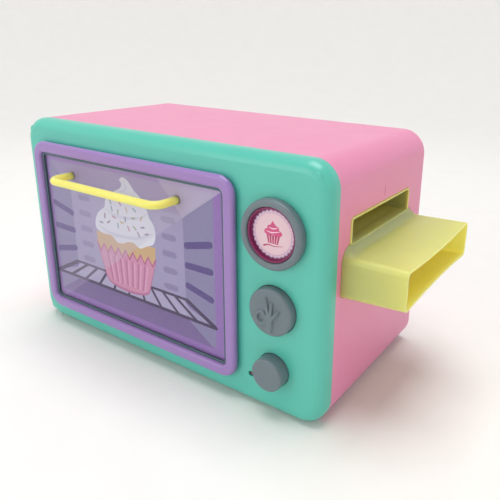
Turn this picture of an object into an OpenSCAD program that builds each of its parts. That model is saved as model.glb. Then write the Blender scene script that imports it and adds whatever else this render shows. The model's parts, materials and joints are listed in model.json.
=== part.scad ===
// Toy oven for a play kitchen: a rounded two-colour casing, a drop-down picture door,
// a turning dial, two push buttons and a tray port with a sleeve on the right side.
// +Z is up and the door faces -Y. The origin is the middle of the casing's flat underside.

/* [Casing] */
// Width of the casing
body_w = 300; // [285:1:400]
// Height of the casing
body_h = 184; // [176:1:260]
// Depth of the casing, front plane to back
body_d = 152; // [146:1:220]
// Corner radius of the casing, seen from the front
corner_r = 18.5; // [16:0.5:24]
// Rounding of the casing's front edge
front_round = 9; // [5:0.5:11]
// Wall thickness of the casing
wall = 2.4; // [2:0.1:3.2]
// Depth of the front bezel, front plane to parting line
bezel_depth = 13; // [12:0.5:18]
// Thickness of the back cover
rear_t = 3; // [2.4:0.1:4]

/* [Door] */
// Casing edge to the door, at the left, top and bottom
door_margin = 17; // [14:0.5:24]
// Door to the casing's right edge, where the controls are
control_zone_w = 68; // [66:1:90]
// Outer corner radius of the door frame
frame_r = 13.5; // [12.5:0.5:18]
// Width of the door frame's bar
frame_w = 9; // [8:0.5:11]
// How far the door frame stands out of the front plane
frame_proud = 6.3; // [5.8:0.1:8]
// Thickness of the clear window
window_t = 1.6; // [1:0.1:2]
// Thickness of the printed card behind the window
card_t = 0.4; // [0.3:0.1:0.6]
// Depth of the door's back panel behind the front plane
door_back_depth = 2; // [1.5:0.1:2.2]
// Diameter of the steel hinge pins
hinge_pin_d = 1.6; // [1.2:0.1:1.8]
// Length of each hinge lug along the hinge
hinge_lug_w = 6; // [4:0.5:12]
// Door edge to the middle of each hinge lug
hinge_inset = 28; // [22:1:50]

/* [Handle] */
// Diameter of the handle's rod
handle_d = 6; // [5:0.5:8]
// Distance between the handle's legs
handle_span = 117; // [80:1:150]
// Front plane to the centre of the handle's bar
handle_reach = 21.5; // [16:0.5:26]
// Bend radius of the handle at its rod centre
handle_bend = 8; // [6:0.5:10]
// How far the handle sits off the door's middle, towards the free side
handle_off = 4.9; // [0:0.1:8]
// Casing's top to the middle of the handle's legs
handle_drop = 42; // [36:1:60]

/* [Controls] */
// Casing's right edge to the middle of the controls
control_inset = 38.4; // [36:0.5:45]
// Outer diameter of the dial ring
dial_d = 47; // [42:0.2:50]
// Inner diameter of the dial ring
dial_bore_d = 37; // [32:0.2:39]
// How far the dial ring stands out
dial_proud = 6.5; // [5:0.1:9]
// Casing's top to the middle of the dial
dial_drop = 49.5; // [46:0.5:60]
// Diameter of the big button
ok_d = 34; // [27.5:0.5:36]
// How far the big button stands out
ok_proud = 6; // [5:0.1:8]
// Underside to the middle of the big button
ok_z = 81; // [78:0.5:86]
// Diameter of the small button
power_d = 24; // [20:0.5:28]
// How far the small button stands out
power_proud = 9.5; // [6:0.1:11]
// Underside to the middle of the small button
power_z = 35.5; // [32:0.5:40]
// Travel of both buttons
button_travel = 3; // [1.5:0.1:3]
// Diameter of the lamp hole beside the small button
led_hole_d = 4; // [3.6:0.1:5]

/* [Side port] */
// Front plane to the port's near side
port_front_gap = 19; // [17:0.5:30]
// Width of the sleeve where it meets the casing
sleeve_w = 116.5; // [100:0.5:120]
// Underside of the casing to the underside of the sleeve
sleeve_z = 92; // [90:0.5:96]
// Height of the sleeve where it meets the casing
sleeve_h = 35; // [30:0.5:38]
// Height of the sleeve's outer end
mouth_h = 27; // [22:0.5:30]
// Rise of the sleeve's underside along its length
mouth_rise = 3; // [0:0.5:5]
// How far the sleeve stands out of the casing
sleeve_len = 44.5; // [30:0.5:60]
// Wall thickness of the sleeve
sleeve_wall = 1.6; // [1.2:0.1:2.4]
// Width of the tray slot over the sleeve, outside its rim
slot_w = 95.5; // [80:0.5:98]
// Height of the tray slot, outside its rim
slot_h = 19; // [16:0.5:24]
// Thickness of the tray slot's rim
slot_rim = 1.3; // [1:0.1:2]

/* [Inside] */
// Thickness of the oven liner and the port duct
liner_t = 1.6; // [1.2:0.1:2.4]
// Back of the casing to the back of the oven liner
liner_rear_gap = 14; // [12:0.5:24]
// Front plane to the front of the circuit board
board_depth = 15; // [14.5:0.1:15.4]
// Diameter of the loudspeaker
speaker_d = 40; // [32:1:46]
// Diameter of one battery cell
cell_d = 14.4; // [14:0.1:14.5]
// Length of one battery cell without its button
cell_len = 49.4; // [49:0.1:50]

/* [Fits] */
// Gap between a moving piece and what it passes
run_gap = 0.4; // [0.3:0.05:0.5]
// Radial clearance of the hinge pins in the lugs
pin_gap = 0.05; // [0.02:0.01:0.1]
// Gap between pieces that are fixed together
seat_gap = 0.1; // [0.05:0.01:0.15]

/* [Hidden] */
smooth = 64;
lap = 0.5; // overlap where two shapes of one piece join

// Colours
teal = "#63c9b5";
pink = "#eba0c4";
lilac = "#b48fd0";
yellow = "#ecdf86";
grey = "#7f8c92";
dark = "#3b4048";
steel = "#b9bdc2";
white = "#eeeeee";

// Casing outlines as [left, right, bottom, top], seen from the front
body = [-body_w / 2, body_w / 2, 0, body_h];
inner = grow(body, -wall);
inner_r = corner_r - wall;
yf = -body_d / 2;
boss_inset = 8;
corner_bosses = [for (x = [inner[0] + boss_inset, inner[1] - boss_inset])
  for (z = [inner[2] + boss_inset, inner[3] - boss_inset]) [x, z]];
boss_r = 5;
tab_r = 4.1;
rear_boss_len = 22;
screw_gap = 0.2;
tab_t = 3;
tongue = 2.5;
screw_r = 1.5;
head_r = 2.8;
head_t = 1.8;
pilot_gap = 0.03;

// Door outlines
door = [body[0] + door_margin, body[1] - control_zone_w,
  door_margin, body_h - door_margin];
view = grow(door, -frame_w);
view_r = frame_r - frame_w;
bar_round = 3;
frame_gap = 0.3;
hinge_z = door[2] + bar_round;
hinge_out = frame_gap + bar_round;
lug_r = 1.9;
lug_web = 1.5;
opening_side = 3;
opening_bottom = bar_round + lug_r + 0.8;
opening = [door[0] + opening_side, door[1] - opening_side,
  door[2] + opening_bottom, door[3] - opening_side];
opening_r = frame_r - opening_side;
swing_gap = 0.7;
back_panel = grow(opening, -swing_gap);
back_r = opening_r - swing_gap;
back_front = 1;
seal_rebate = 1.5;
seal_seat_t = 0.9;
pane_inset = 1.4;
pane = grow(view, -pane_inset);
pane_r = view_r - pane_inset;
pane_back = back_front + card_t;
pane_front = pane_back + window_t;
seal_lip = 0.8;
seal_lip_t = 0.5;
hinge_x = [door[0] + hinge_inset, door[1] - hinge_inset];
door_cx = (door[0] + door[1]) / 2;
door_screw_r = 1;
door_head_r = 1.6;
door_head_t = 1.2;
door_screw_len = 4.5;
door_screw_z = [door[2] + 0.3 * (door[3] - door[2]), door[3] - 0.2 * (door[3] - door[2])];
side_screw_in = 5.6;

// Handle
handle_r = handle_d / 2;
handle_z = body_h - handle_drop;
handle_x = [for (side = [-1, 1]) door_cx - handle_off + side * handle_span / 2];
handle_hole_r = handle_r + 0.5;
handle_screw_r = 1.1;

// Controls
cx = body_w / 2 - control_inset;
dial_z = body_h - dial_drop;
dial_r = dial_d / 2;
dial_bore_r = dial_bore_d / 2;
skirt_t = 1.8;
skirt_r = dial_bore_r + skirt_t;
flange_t = 1.6;
flange_back = wall + run_gap + flange_t;
cap_t = 1.6;
button_skirt = 9;
plunger_r = 3;
switch_w = 6;
switch_t = 1.4;
switch_nub = 0.5;
press_gap = 0.5;
plunger_len = board_depth - switch_t - switch_nub - button_travel - press_gap;
cup_r = dial_bore_r - run_gap;
cup_front = 1.6;
cup_wall = 0.8;
cup_rim = dial_proud - 1.5;
label_r = 14.7;
label_t = 0.5;
scallops = 30;
scallop_r = 1.5;
spring_r = 4.6;
spring_wire = 0.35;
spring_turns = 4;
led_x = cx - 19.7;
led_z = power_z - 10.8;
led_r = 1.5;

// Board
board_t = 1.4;
board = [door[1] + 3.5, body_w / 2 - 10, 18, body_h - 27];
board_posts = [for (z = [57, 109]) for (x = [board[0] + 3, board[1] - 3.5]) [x, z]];
post_r = 2.8;

// Side port, in the side wall's own frame: x along the casing's depth, y up
sleeve_y = yf + port_front_gap;
sleeve = [sleeve_y, sleeve_y + sleeve_w, sleeve_z, sleeve_z + sleeve_h];
sleeve_top_r = 11;
sleeve_low_r = 4;
lip_len = 6.5;
mouth = [sleeve[0] - 1, sleeve[1] + 1.5, sleeve_z + mouth_rise, sleeve_z + mouth_rise + mouth_h];
neck_top = mouth[3] - 0.8;
mouth_sag = 2;
corner_steps = 6;
bow_steps = 10;
mouth_top_r = 4;
slot_mid = (sleeve[0] + sleeve[1]) / 2 - 0.5;
mark_off = 2;
mark_gap = 3.3;
mark_w = 0.6;
mark_len = 8;
slot_sink = 1.7; // how far the slot's rim sits below the top of the sleeve's root
slot = [slot_mid - slot_w / 2, slot_mid + slot_w / 2,
  sleeve[3] - slot_sink, sleeve[3] - slot_sink + slot_h];
slot_r = 3;
slot_proud = 0.8;
port_gap = 0.4;
flange_seat = 4;
port_flange = [sleeve[0] - 5, sleeve[1] + 5, sleeve[2] - 6.5, slot[3] + 6.5];
port_flange_t = 2;
port_back = wall + flange_seat + port_flange_t;
port_post_r = 2.8;
port_posts = [for (z = [port_flange[2] + 3, port_flange[3] - 3])
  for (x = [slot[0] + 12, slot[1] - 12]) [x, z]];

// Oven liner and duct
liner_in = grow(view, -0.5);
liner_y1 = body_d / 2 - liner_rear_gap;
liner_lip = [body[0] + 16, door[1] + 1, door[2] - 3, body_h - 11.5];
clip_x = [door[0] + 33, door_cx, door[1] - 33];
clip_z = [door[2] + 0.7, door[3] + 1.5];
stud_r = 1.5;
duct_x0 = liner_in[1] + liner_t + seat_gap;
duct_x1 = body_w / 2 - port_back - seat_gap;
lamp_r = 5;
lamp_z = view[3] - 26;

// Batteries
cells = 3;
cell_pitch = cell_d + 1;
bay_t = 1.4;
bay_len = cell_len + 5;
bay_w = cells * cell_pitch + 1;
bay_x1 = body_w / 2 - corner_r - 2.5;
bay_x0 = bay_x1 - bay_len - 2 * bay_t;
bay_y0 = -bay_w / 2 - bay_t;
bay_h = cell_d + 1.6;
hatch_gap = 0.3;
hatch_t = 2;
tab_len = 9;
tab_w = 10;
hatch_screw_x = bay_x0 - 3.4;

// Rear
speaker_r = speaker_d / 2;
speaker_x = cx;
speaker_z = 50;

function grow(b, d) = [b[0] - d, b[1] + d, b[2] - d, b[3] + d];

// ---- Frames: the front face and the right side ----

// Draws in the front face's own frame: x right, y up, z out of the front plane
module face() { translate([0, yf, 0]) rotate([90, 0, 0]) children(); }

// Draws in the right side's own frame: x towards the back, y up, z out of the side
module side() { translate([body_w / 2, 0, 0]) rotate([90, 0, 90]) children(); }

// ---- Shapes that repeat ----

// Plate with rounded corners from z0 to z1
module plate(b, z0, z1, r) {
  for (x = [b[0] + r, b[1] - r], y = [b[2] + r, b[3] - r])
    translate([x, y, z0]) cylinder(r = r, h = z1 - z0, $fn = smooth);
  translate([b[0] + r, b[2], z0]) cube([b[1] - b[0] - 2 * r, b[3] - b[2], z1 - z0]);
  translate([b[0], b[2] + r, z0]) cube([b[1] - b[0], b[3] - b[2] - 2 * r, z1 - z0]);
}

// Plate with square corners
module block(b, z0, z1) {
  translate([b[0], b[2], z0]) cube([b[1] - b[0], b[3] - b[2], z1 - z0]);
}

// Carries a profile round a rectangle with rounded corners. The profile's x is the distance
// out from the corner centres and its y is the distance out of the front.
module carry_round(b, r) {
  w = b[1] - b[0] - 2 * r;
  h = b[3] - b[2] - 2 * r;
  runs = [[b[1] - r, b[3] - r, h], [b[0] + r, b[3] - r, w],
    [b[0] + r, b[2] + r, h], [b[1] - r, b[2] + r, w]];
  for (i = [0:3]) translate([runs[i][0], runs[i][1], 0]) rotate([0, 0, 90 * i]) {
    rotate_extrude(angle = 90, $fn = smooth) children();
    rotate([90, 0, 0]) linear_extrude(runs[i][2]) children();
  }
}

// Block with rounded corners and a rounded front edge; its front is at z = top
module soft_block(b, top, depth, r, f) {
  carry_round(b, r) {
    translate([0, top - depth]) square([r, depth - f]);
    translate([0, top - f]) square([r - f, f]);
    translate([r - f, top - f]) intersection() {
      circle(r = f, $fn = smooth);
      square([f, f]);
    }
  }
  translate([b[0] + r, b[2] + r, top - depth]) cube([b[1] - b[0] - 2 * r, b[3] - b[2] - 2 * r, depth]);
}

// Upright cylinder in the current frame
module post(x, y, r, z0, z1) { translate([x, y, z0]) cylinder(r = r, h = z1 - z0, $fn = smooth); }

// Screw whose head starts at z = head and whose shank runs to z = tip
module screw(x, y, r, hr, ht, head, tip) {
  up = head > tip ? 1 : -1;
  translate([x, y, head]) mirror([0, 0, up > 0 ? 1 : 0]) {
    difference() {
      union() {
        cylinder(r = hr, h = ht, $fn = smooth);
        cylinder(r = r, h = abs(head - tip), $fn = smooth);
      }
      for (a = [0, 90]) rotate([0, 0, a])
        translate([-hr * 0.6, -hr * 0.12, -1]) cube([hr * 1.2, hr * 0.24, 1 + ht * 0.45]);
    }
  }
}

// Round cap with a rounded front edge, hollow behind, front at z = top
module cap(r, top, bottom, f, t) {
  difference() {
    rotate_extrude($fn = smooth) {
      translate([0, bottom]) square([r, top - bottom - f]);
      translate([0, top - f]) square([r - f, f]);
      translate([r - f, top - f]) intersection() {
        circle(r = f, $fn = smooth);
        square([f, f]);
      }
    }
    translate([0, 0, bottom - 1]) cylinder(r = r - t, h = top - t - bottom + 1, $fn = smooth);
  }
}

// Coil spring along z: a tube carried round a helix
module coil(r, wire, h, turns) {
  sides = 8;
  per_turn = 16;
  rings = turns * per_turn;
  points = [for (i = [0:rings]) for (j = [0:sides - 1])
    let (a = 360 * i / per_turn, b = 360 * j / sides, d = r + wire * cos(b))
    [d * cos(a), d * sin(a), wire + (h - 2 * wire) * i / rings + wire * sin(b)]];
  skin = [for (i = [0:rings - 1]) for (j = [0:sides - 1])
    let (k = (j + 1) % sides)
    each [[i * sides + j, i * sides + k, (i + 1) * sides + k],
      [i * sides + j, (i + 1) * sides + k, (i + 1) * sides + j]]];
  start = [for (j = [1:sides - 2]) [0, j + 1, j]];
  last = rings * sides;
  end = [for (j = [1:sides - 2]) [last, last + j, last + j + 1]];
  polyhedron(points = points, faces = concat(skin, start, end), convexity = 10);
}

// Lead along a few points, with ball elbows
module lead(path, r) {
  for (i = [0:len(path) - 2]) {
    d = path[i + 1] - path[i];
    l = norm(d);
    translate(path[i]) rotate([0, acos(d[2] / l), atan2(d[1], d[0])])
      cylinder(r = r, h = l, $fn = 24);
    if (i > 0) translate(path[i]) sphere(r = r * 1.2, $fn = 24);
  }
}

// ---- Casing ----

module front_bezel() {
  color(teal) face() difference() {
    union() {
      difference() {
        soft_block(body, 0, bezel_depth, corner_r, front_round);
        soft_block(inner, -wall, bezel_depth - wall + 1, inner_r, front_round - wall);
      }
      // tongue that slides into the housing
      difference() {
        union() {
          plate(grow(inner, lap), -bezel_depth, -bezel_depth + 2, inner_r + lap);
          plate(grow(inner, -seat_gap), -bezel_depth - tongue, -bezel_depth + 2,
            inner_r - seat_gap);
        }
        plate(grow(inner, -1.8), -bezel_depth - tongue - 1, -bezel_depth + 3, inner_r - 1.8);
      }
      for (p = corner_bosses)
        post(p[0], p[1], tab_r, -bezel_depth - tab_t, -wall / 2);
      for (p = board_posts) post(p[0], p[1], post_r, -board_depth, -wall / 2);
      for (x = clip_x, z = clip_z) post(x, z, stud_r, -wall - 5, -wall / 2);
      for (x = hinge_x) {
        translate([x - hinge_lug_w / 2, hinge_z, hinge_out]) rotate([0, 90, 0])
          cylinder(r = lug_r, h = hinge_lug_w, $fn = smooth);
        translate([x - hinge_lug_w / 2, hinge_z - lug_web, -wall / 2])
          cube([hinge_lug_w, 2 * lug_web, hinge_out + wall / 2]);
      }
    }
    plate(opening, -bezel_depth - 4, 1, opening_r);
    for (x = hinge_x) translate([x - hinge_lug_w / 2 - 1, hinge_z, hinge_out]) rotate([0, 90, 0])
      cylinder(r = hinge_pin_d / 2 + pin_gap, h = hinge_lug_w + 2, $fn = smooth);
    post(cx, dial_z, skirt_r + run_gap, -wall - 1, 1);
    post(cx, ok_z, ok_d / 2 + run_gap, -wall - 1, 1);
    post(cx, power_z, power_d / 2 + run_gap, -wall - 1, 1);
    post(led_x, led_z, led_hole_d / 2, -wall - 1, 1);
    for (p = corner_bosses)
      post(p[0], p[1], screw_r + pilot_gap, -bezel_depth - tab_t - 1, -6);
    for (p = board_posts)
      post(p[0], p[1], door_screw_r + pilot_gap, -board_depth - 1, -board_depth + 7);
  }
}

module housing_shell() {
  front = -bezel_depth;
  back = -body_d;
  color(pink) difference() {
    union() {
      face() {
        difference() {
          plate(body, back, front, corner_r);
          plate(inner, back - 1, front + 1, inner_r);
        }
        for (p = corner_bosses) {
          post(p[0], p[1], boss_r, back + rear_t, back + rear_t + rear_boss_len);
          post(p[0], p[1], boss_r + 0.6, front - 2 * tab_t, front - tab_t);
        }
      }
      side() for (p = port_posts) post(p[0], p[1], port_post_r, -wall - flange_seat, -wall / 2);
    }
    face() {
      for (p = corner_bosses) {
        post(p[0], p[1], screw_r + pilot_gap, back + rear_t - 1, back + rear_t + 14);
        post(p[0], p[1], screw_r + screw_gap, front - 2 * tab_t - 1, front - tab_t + 1);
      }
    }
    side() {
      rounded_port(port_gap, -wall - 1, 1);
      plate(grow(slot, port_gap), -wall - 1, 1, slot_r + port_gap);
      for (p = port_posts)
        post(p[0], p[1], door_screw_r + pilot_gap, -wall - flange_seat - 1, -wall);
      // short locating mark over the slot
      translate([slot_mid + mark_off, slot[3] + mark_gap, -mark_w])
        cube([mark_w, mark_len, 2]);
    }
    hatch_outline(0, -1, wall + 1);
  }
}

// Outline of the battery hatch with its screw tab, moved in by d
module hatch_outline(d, z0, z1) {
  translate([bay_x0 + bay_t + d, bay_y0 + bay_t + d, z0])
    cube([bay_len - 2 * d, bay_w - 2 * d, z1 - z0]);
  translate([bay_x0 + bay_t - tab_len + d, -tab_w / 2 + d, z0])
    cube([tab_len, tab_w - 2 * d, z1 - z0]);
}

// Outline of the sleeve's root, grown by d: big corners at the top and small ones below
module rounded_port(d, z0, z1) {
  b = grow(sleeve, d);
  mid = (b[2] + b[3]) / 2;
  difference() {
    plate(b, z0, z1, sleeve_top_r + d);
    block([b[0] - 1, b[1] + 1, b[2] - 1, mid], z0 - 1, z1 + 1);
  }
  difference() {
    plate(b, z0, z1, sleeve_low_r + d);
    block([b[0] - 1, b[1] + 1, mid, b[3] + 1], z0 - 1, z1 + 1);
  }
}

module rear_cover() {
  back = -body_d;
  color(pink) face() difference() {
    plate(grow(inner, -hatch_gap), back, back + rear_t, inner_r - hatch_gap);
    for (p = corner_bosses) {
      post(p[0], p[1], screw_r + screw_gap, back - 1, back + rear_t + 1);
      post(p[0], p[1], head_r + screw_gap, back - 1, back + head_t);
    }
    for (a = [0:60:300]) speaker_hole(a, speaker_r * 0.32, back);
    for (a = [15:30:345]) speaker_hole(a, speaker_r * 0.64, back);
    post(speaker_x, speaker_z, 1.5, back - 1, back + rear_t + 1);
  }
}

// One loudspeaker hole at angle a and distance d from the loudspeaker's axis
module speaker_hole(a, d, back) {
  post(speaker_x + d * cos(a), speaker_z + d * sin(a), 1.5, back - 1, back + rear_t + 1);
}

module bezel_screws() {
  color(steel) face()
    for (p = corner_bosses)
      screw(p[0], p[1], screw_r, head_r, head_t, -bezel_depth - 2 * tab_t - head_t, -8);
}

module rear_screws() {
  color(steel) face()
    for (p = corner_bosses)
      screw(p[0], p[1], screw_r, head_r, head_t, -body_d, -body_d + rear_t + 12);
}

// ---- Oven inside ----

module oven_liner() {
  front = -wall - seat_gap;
  back = yf - liner_y1;
  color(dark) difference() {
    face() {
      difference() {
        union() {
          plate(grow(liner_in, liner_t), back, front, view_r + liner_t);
          plate(liner_lip, front - liner_t, front, 6);
        }
        plate(liner_in, back + liner_t, front + 1, view_r);
        post(door_cx, lamp_z, lamp_r + 0.3, back - 1, back + liner_t + 1);
        for (x = clip_x, z = clip_z) post(x, z, stud_r + 0.2, front - liner_t - 1, front + 1);
      }
    }
    translate([liner_in[1] - 1, sleeve[0] + liner_t, sleeve[2] + liner_t])
      cube([liner_t + 2, sleeve_w - 2 * liner_t, sleeve_h - 2 * liner_t]);
    translate([liner_in[1] - 1, slot[0] + slot_rim, slot[2] + slot_rim])
      cube([liner_t + 2, slot_w - 2 * slot_rim, slot_h - 2 * slot_rim]);
  }
}

module liner_clips() {
  top = -wall - seat_gap - liner_t;
  color(steel) face() for (x = clip_x, z = clip_z) difference() {
    post(x, z, stud_r + 1.7, top - 0.6, top);
    post(x, z, stud_r + 0.02, top - 1.6, top + 1);
  }
}

// Arc of a corner, counter-clockwise from angle a
function arc(x, y, r, a) = [for (i = [0:corner_steps])
  [x + r * cos(a + 90 * i / corner_steps), y + r * sin(a + 90 * i / corner_steps)]];

// Outline of the sleeve: box b, top and bottom corner radii, long walls bowed in by sag
function outline(b, rt, rb, sag) = concat(
  arc(b[1] - rt, b[3] - rt, rt, 0),
  [for (i = [1:bow_steps - 1]) let (t = i / bow_steps)
    [b[1] - rt - t * (b[1] - b[0] - 2 * rt), b[3] - 4 * sag * t * (1 - t)]],
  arc(b[0] + rt, b[3] - rt, rt, 90),
  arc(b[0] + rb, b[2] + rb, rb, 180),
  [for (i = [1:bow_steps - 1]) let (t = i / bow_steps)
    [b[0] + rb + t * (b[1] - b[0] - 2 * rb), b[2] + 4 * sag * t * (1 - t)]],
  arc(b[1] - rb, b[2] + rb, rb, 270));

// Section of the sleeve at z out of the casing's side, moved in by t
function sleeve_section(z, t) =
  let (u = min(max(z / lip_len, 0), 1), v = max((z - lip_len) / (sleeve_len - lip_len), 0),
    w = max(z / sleeve_len, 0), drop = 1 - pow(1 - u, 1.7),
    b = [sleeve[0] + (mouth[0] - sleeve[0]) * w, sleeve[1] + (mouth[1] - sleeve[1]) * w,
      sleeve[2] + (mouth[2] - sleeve[2]) * w,
      sleeve[3] + (neck_top - sleeve[3]) * drop + (mouth[3] - neck_top) * v],
    rt = sleeve_top_r + (mouth_top_r - sleeve_top_r) * u)
  [for (p = outline(grow(b, -t), rt - t, sleeve_low_r - t, mouth_sag * w * w)) [p[0], p[1], z]];

// Sleeve of the port, one closed shape from its inner end to its mouth
module sleeve_tube() {
  stations = concat([-port_back, -wall], [for (i = [0:4]) lip_len * i / 4],
    [for (i = [1:4]) lip_len + (sleeve_len - lip_len) * i / 4]);
  rings = len(stations);
  n = len(sleeve_section(0, 0));
  points = concat([for (z = stations) each sleeve_section(z, 0)],
    [for (z = stations) each sleeve_section(z, sleeve_wall)]);
  inside = rings * n;
  last = (rings - 1) * n;
  skins = [for (k = [0:rings - 2]) for (j = [0:n - 1]) let (a = k * n + j, b = k * n + (j + 1) % n)
    each [[a, a + n, b + n], [a, b + n, b],
      [inside + a, inside + b + n, inside + a + n], [inside + a, inside + b, inside + b + n]]];
  ends = [for (j = [0:n - 1]) let (k = (j + 1) % n)
    each [[j, k, inside + k], [j, inside + k, inside + j],
      [last + j, inside + last + k, last + k], [last + j, inside + last + j, inside + last + k]]];
  polyhedron(points = points, faces = concat(skins, ends), convexity = 8);
}

module port_chute() {
  inside = -port_back;
  color(yellow) side() difference() {
    union() {
      sleeve_tube();
      difference() {
        union() {
          plate(slot, inside, slot_proud, slot_r);
          plate(port_flange, inside, inside + port_flange_t, 4);
        }
        rounded_port(-sleeve_wall / 2, inside - 1, -wall / 2);
      }
    }
    plate(grow(slot, -slot_rim), inside - 1, slot_proud + 1, slot_r - slot_rim);
    for (p = port_posts)
      post(p[0], p[1], door_screw_r + 0.15, inside - 1, inside + port_flange_t + 1);
  }
}

module port_duct() {
  color(yellow) difference() {
    union() {
      duct_box(sleeve, 0);
      duct_box([slot[0] - 0.3, slot[1] + 0.3, slot[2], slot[3] + 0.3], 0);
    }
    duct_box(grow(sleeve, -liner_t), 1);
    duct_box(grow(slot, -slot_rim), 1);
  }
}

// Straight box along X for the duct, longer by e at both ends
module duct_box(b, e) {
  translate([duct_x0 - e, b[0], b[2]])
    cube([duct_x1 - duct_x0 + 2 * e, b[1] - b[0], b[3] - b[2]]);
}

module chute_screws() {
  color(steel) side() for (p = port_posts)
    screw(p[0], p[1], door_screw_r, 2, 1.2, -port_back - 1.2, -wall - 0.5);
}

module cavity_lamp() {
  back = yf - liner_y1;
  color("#ffe9b0") face() {
    post(door_cx, lamp_z, lamp_r, back - 3, back + liner_t + 1.5);
    intersection() {
      translate([door_cx, lamp_z, back + liner_t + 1.5]) sphere(r = lamp_r, $fn = smooth);
      post(door_cx, lamp_z, lamp_r + 1, back + liner_t + 1.5, back + liner_t + 8);
    }
  }
}

module lamp_socket() {
  back = yf - liner_y1;
  color(white) face() difference() {
    post(door_cx, lamp_z, lamp_r + 2, back - 9, back - seat_gap);
    post(door_cx, lamp_z, lamp_r + seat_gap, back - 3 - seat_gap, back + 1);
  }
}

// ---- Controls ----

module badge_cup() {
  color("#5e2850") face() difference() {
    union() {
      post(cx, dial_z, cup_r, -2, cup_rim);
      post(cx, dial_z, 7, -board_depth, -1);
    }
    post(cx, dial_z, cup_r - cup_wall, cup_front, cup_rim + 1);
    post(cx, dial_z, door_screw_r + pilot_gap, -board_depth - 1, -board_depth + 7);
  }
}

module badge_label() {
  color("#e6c4da") face() {
    post(cx, dial_z, label_r, cup_front, cup_front + label_t);
    for (i = [0:scallops - 1])
      post(cx + label_r * cos(360 * i / scallops), dial_z + label_r * sin(360 * i / scallops),
        scallop_r, cup_front, cup_front + label_t);
  }
}

module dial_ring() {
  base = 0.4;
  edge = 2.2;
  lip = 1.5;
  color(grey) face() translate([cx, dial_z, 0]) rotate_extrude($fn = smooth) {
    translate([dial_bore_r, -flange_back - 1]) square([skirt_t, base + lap + flange_back + 1]);
    translate([dial_bore_r, base]) square([dial_r - dial_bore_r, dial_proud - edge - base]);
    translate([dial_bore_r + lip, dial_proud - edge]) square([dial_r - dial_bore_r - lip - edge, edge]);
    translate([dial_r - edge, dial_proud - edge]) intersection() {
      circle(r = edge, $fn = smooth);
      square([edge, edge]);
    }
    translate([dial_bore_r, dial_proud - edge]) square([lip, edge - lip]);
    translate([dial_bore_r + lip, dial_proud - lip]) intersection() {
      circle(r = lip, $fn = smooth);
      translate([-lip, 0]) square([lip, lip]);
    }
  }
}

module dial_retainer() {
  color(dark) face() difference() {
    post(cx, dial_z, skirt_r + 2.4, -flange_back, -flange_back + flange_t);
    post(cx, dial_z, skirt_r + 0.02, -flange_back - 1, -flange_back + flange_t + 1);
  }
}

// Push button: hollow cap, stop flange behind the bezel and a plunger for the switch
module push_button(z, d, proud, edge) {
  face() translate([cx, z, 0]) {
    cap(d / 2, proud, -button_skirt, edge, cap_t);
    difference() {
      translate([0, 0, -flange_back]) cylinder(r = d / 2 + 1.8, h = flange_t, $fn = smooth);
      translate([0, 0, -flange_back - 1]) cylinder(r = d / 2 - cap_t / 2, h = flange_t + 2, $fn = smooth);
    }
    translate([0, 0, -plunger_len])
      cylinder(r = plunger_r, h = plunger_len + proud - cap_t / 2, $fn = smooth);
  }
}

module ok_button() { color(grey) push_button(ok_z, ok_d, ok_proud, 2); }

module power_button() { color(grey) push_button(power_z, power_d, power_proud, 1.5); }

// Return spring between the board and the cap of a button
module return_spring(z, proud) {
  face() translate([cx, z, -board_depth + seat_gap])
    coil(spring_r, spring_wire, board_depth + proud - cap_t - 2 * seat_gap, spring_turns);
}

module ok_spring() { color(steel) return_spring(ok_z, ok_proud); }

module power_spring() { color(steel) return_spring(power_z, power_proud); }

module circuit_board() {
  color("#2f6b45") face() difference() {
    block(board, -board_depth - board_t, -board_depth);
    for (p = board_posts) post(p[0], p[1], door_screw_r + 0.15, -board_depth - board_t - 1, 0);
    post(cx, dial_z, door_screw_r + 0.15, -board_depth - board_t - 1, 0);
  }
}

module tact_switches() {
  color(dark) face() for (z = [ok_z, power_z]) {
    translate([cx - switch_w / 2, z - switch_w / 2, -board_depth]) cube([switch_w, switch_w, switch_t]);
    post(cx, z, 1.6, -board_depth + switch_t / 2, -board_depth + switch_t + switch_nub);
  }
}

module board_screws() {
  color(steel) face() for (p = concat(board_posts, [[cx, dial_z]]))
    screw(p[0], p[1], door_screw_r, 1.5, 0.9, -board_depth - board_t - 0.9, -board_depth + 6);
}

module indicator_led() {
  color("#e58fa8") face() {
    post(led_x, led_z, led_r, -6, -1.6);
    translate([led_x, led_z, -1.6]) sphere(r = led_r, $fn = smooth);
    post(led_x, led_z, led_r + 0.25, -7, -6);
    for (d = [-0.7, 0.7]) translate([led_x + d - 0.25, led_z - 0.25, -board_depth])
      cube([0.5, 0.5, board_depth - 6.5]);
  }
}

// ---- Rear and power ----

module speaker() {
  front = -body_d + rear_t;
  color(dark) face() translate([speaker_x, speaker_z, front]) rotate_extrude($fn = smooth) {
    translate([speaker_r - 2.5, 0]) square([2.5, 2]);
    polygon([[speaker_r - 3.5, 1], [speaker_r - 2, 1], [speaker_r - 2, 2], [7, 9], [7, 7.5]]);
    translate([0, 7.5]) square([9, 6]);
  }
}

// Tray for the cells, open below
module battery_box() {
  floor_z = wall;
  color(dark) difference() {
    union() {
      translate([bay_x0, bay_y0, floor_z])
        cube([bay_len + 2 * bay_t, bay_w + 2 * bay_t, bay_h + bay_t]);
      // screw post for the hatch
      translate([hatch_screw_x, 0, floor_z]) cylinder(r = 3.6, h = 10, $fn = smooth);
    }
    translate([bay_x0 + bay_t, bay_y0 + bay_t, floor_z - 1]) cube([bay_len, bay_w, bay_h + 1]);
    translate([hatch_screw_x, 0, floor_z - 1])
      cylinder(r = door_screw_r + pilot_gap, h = 8, $fn = smooth);
  }
}

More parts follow.
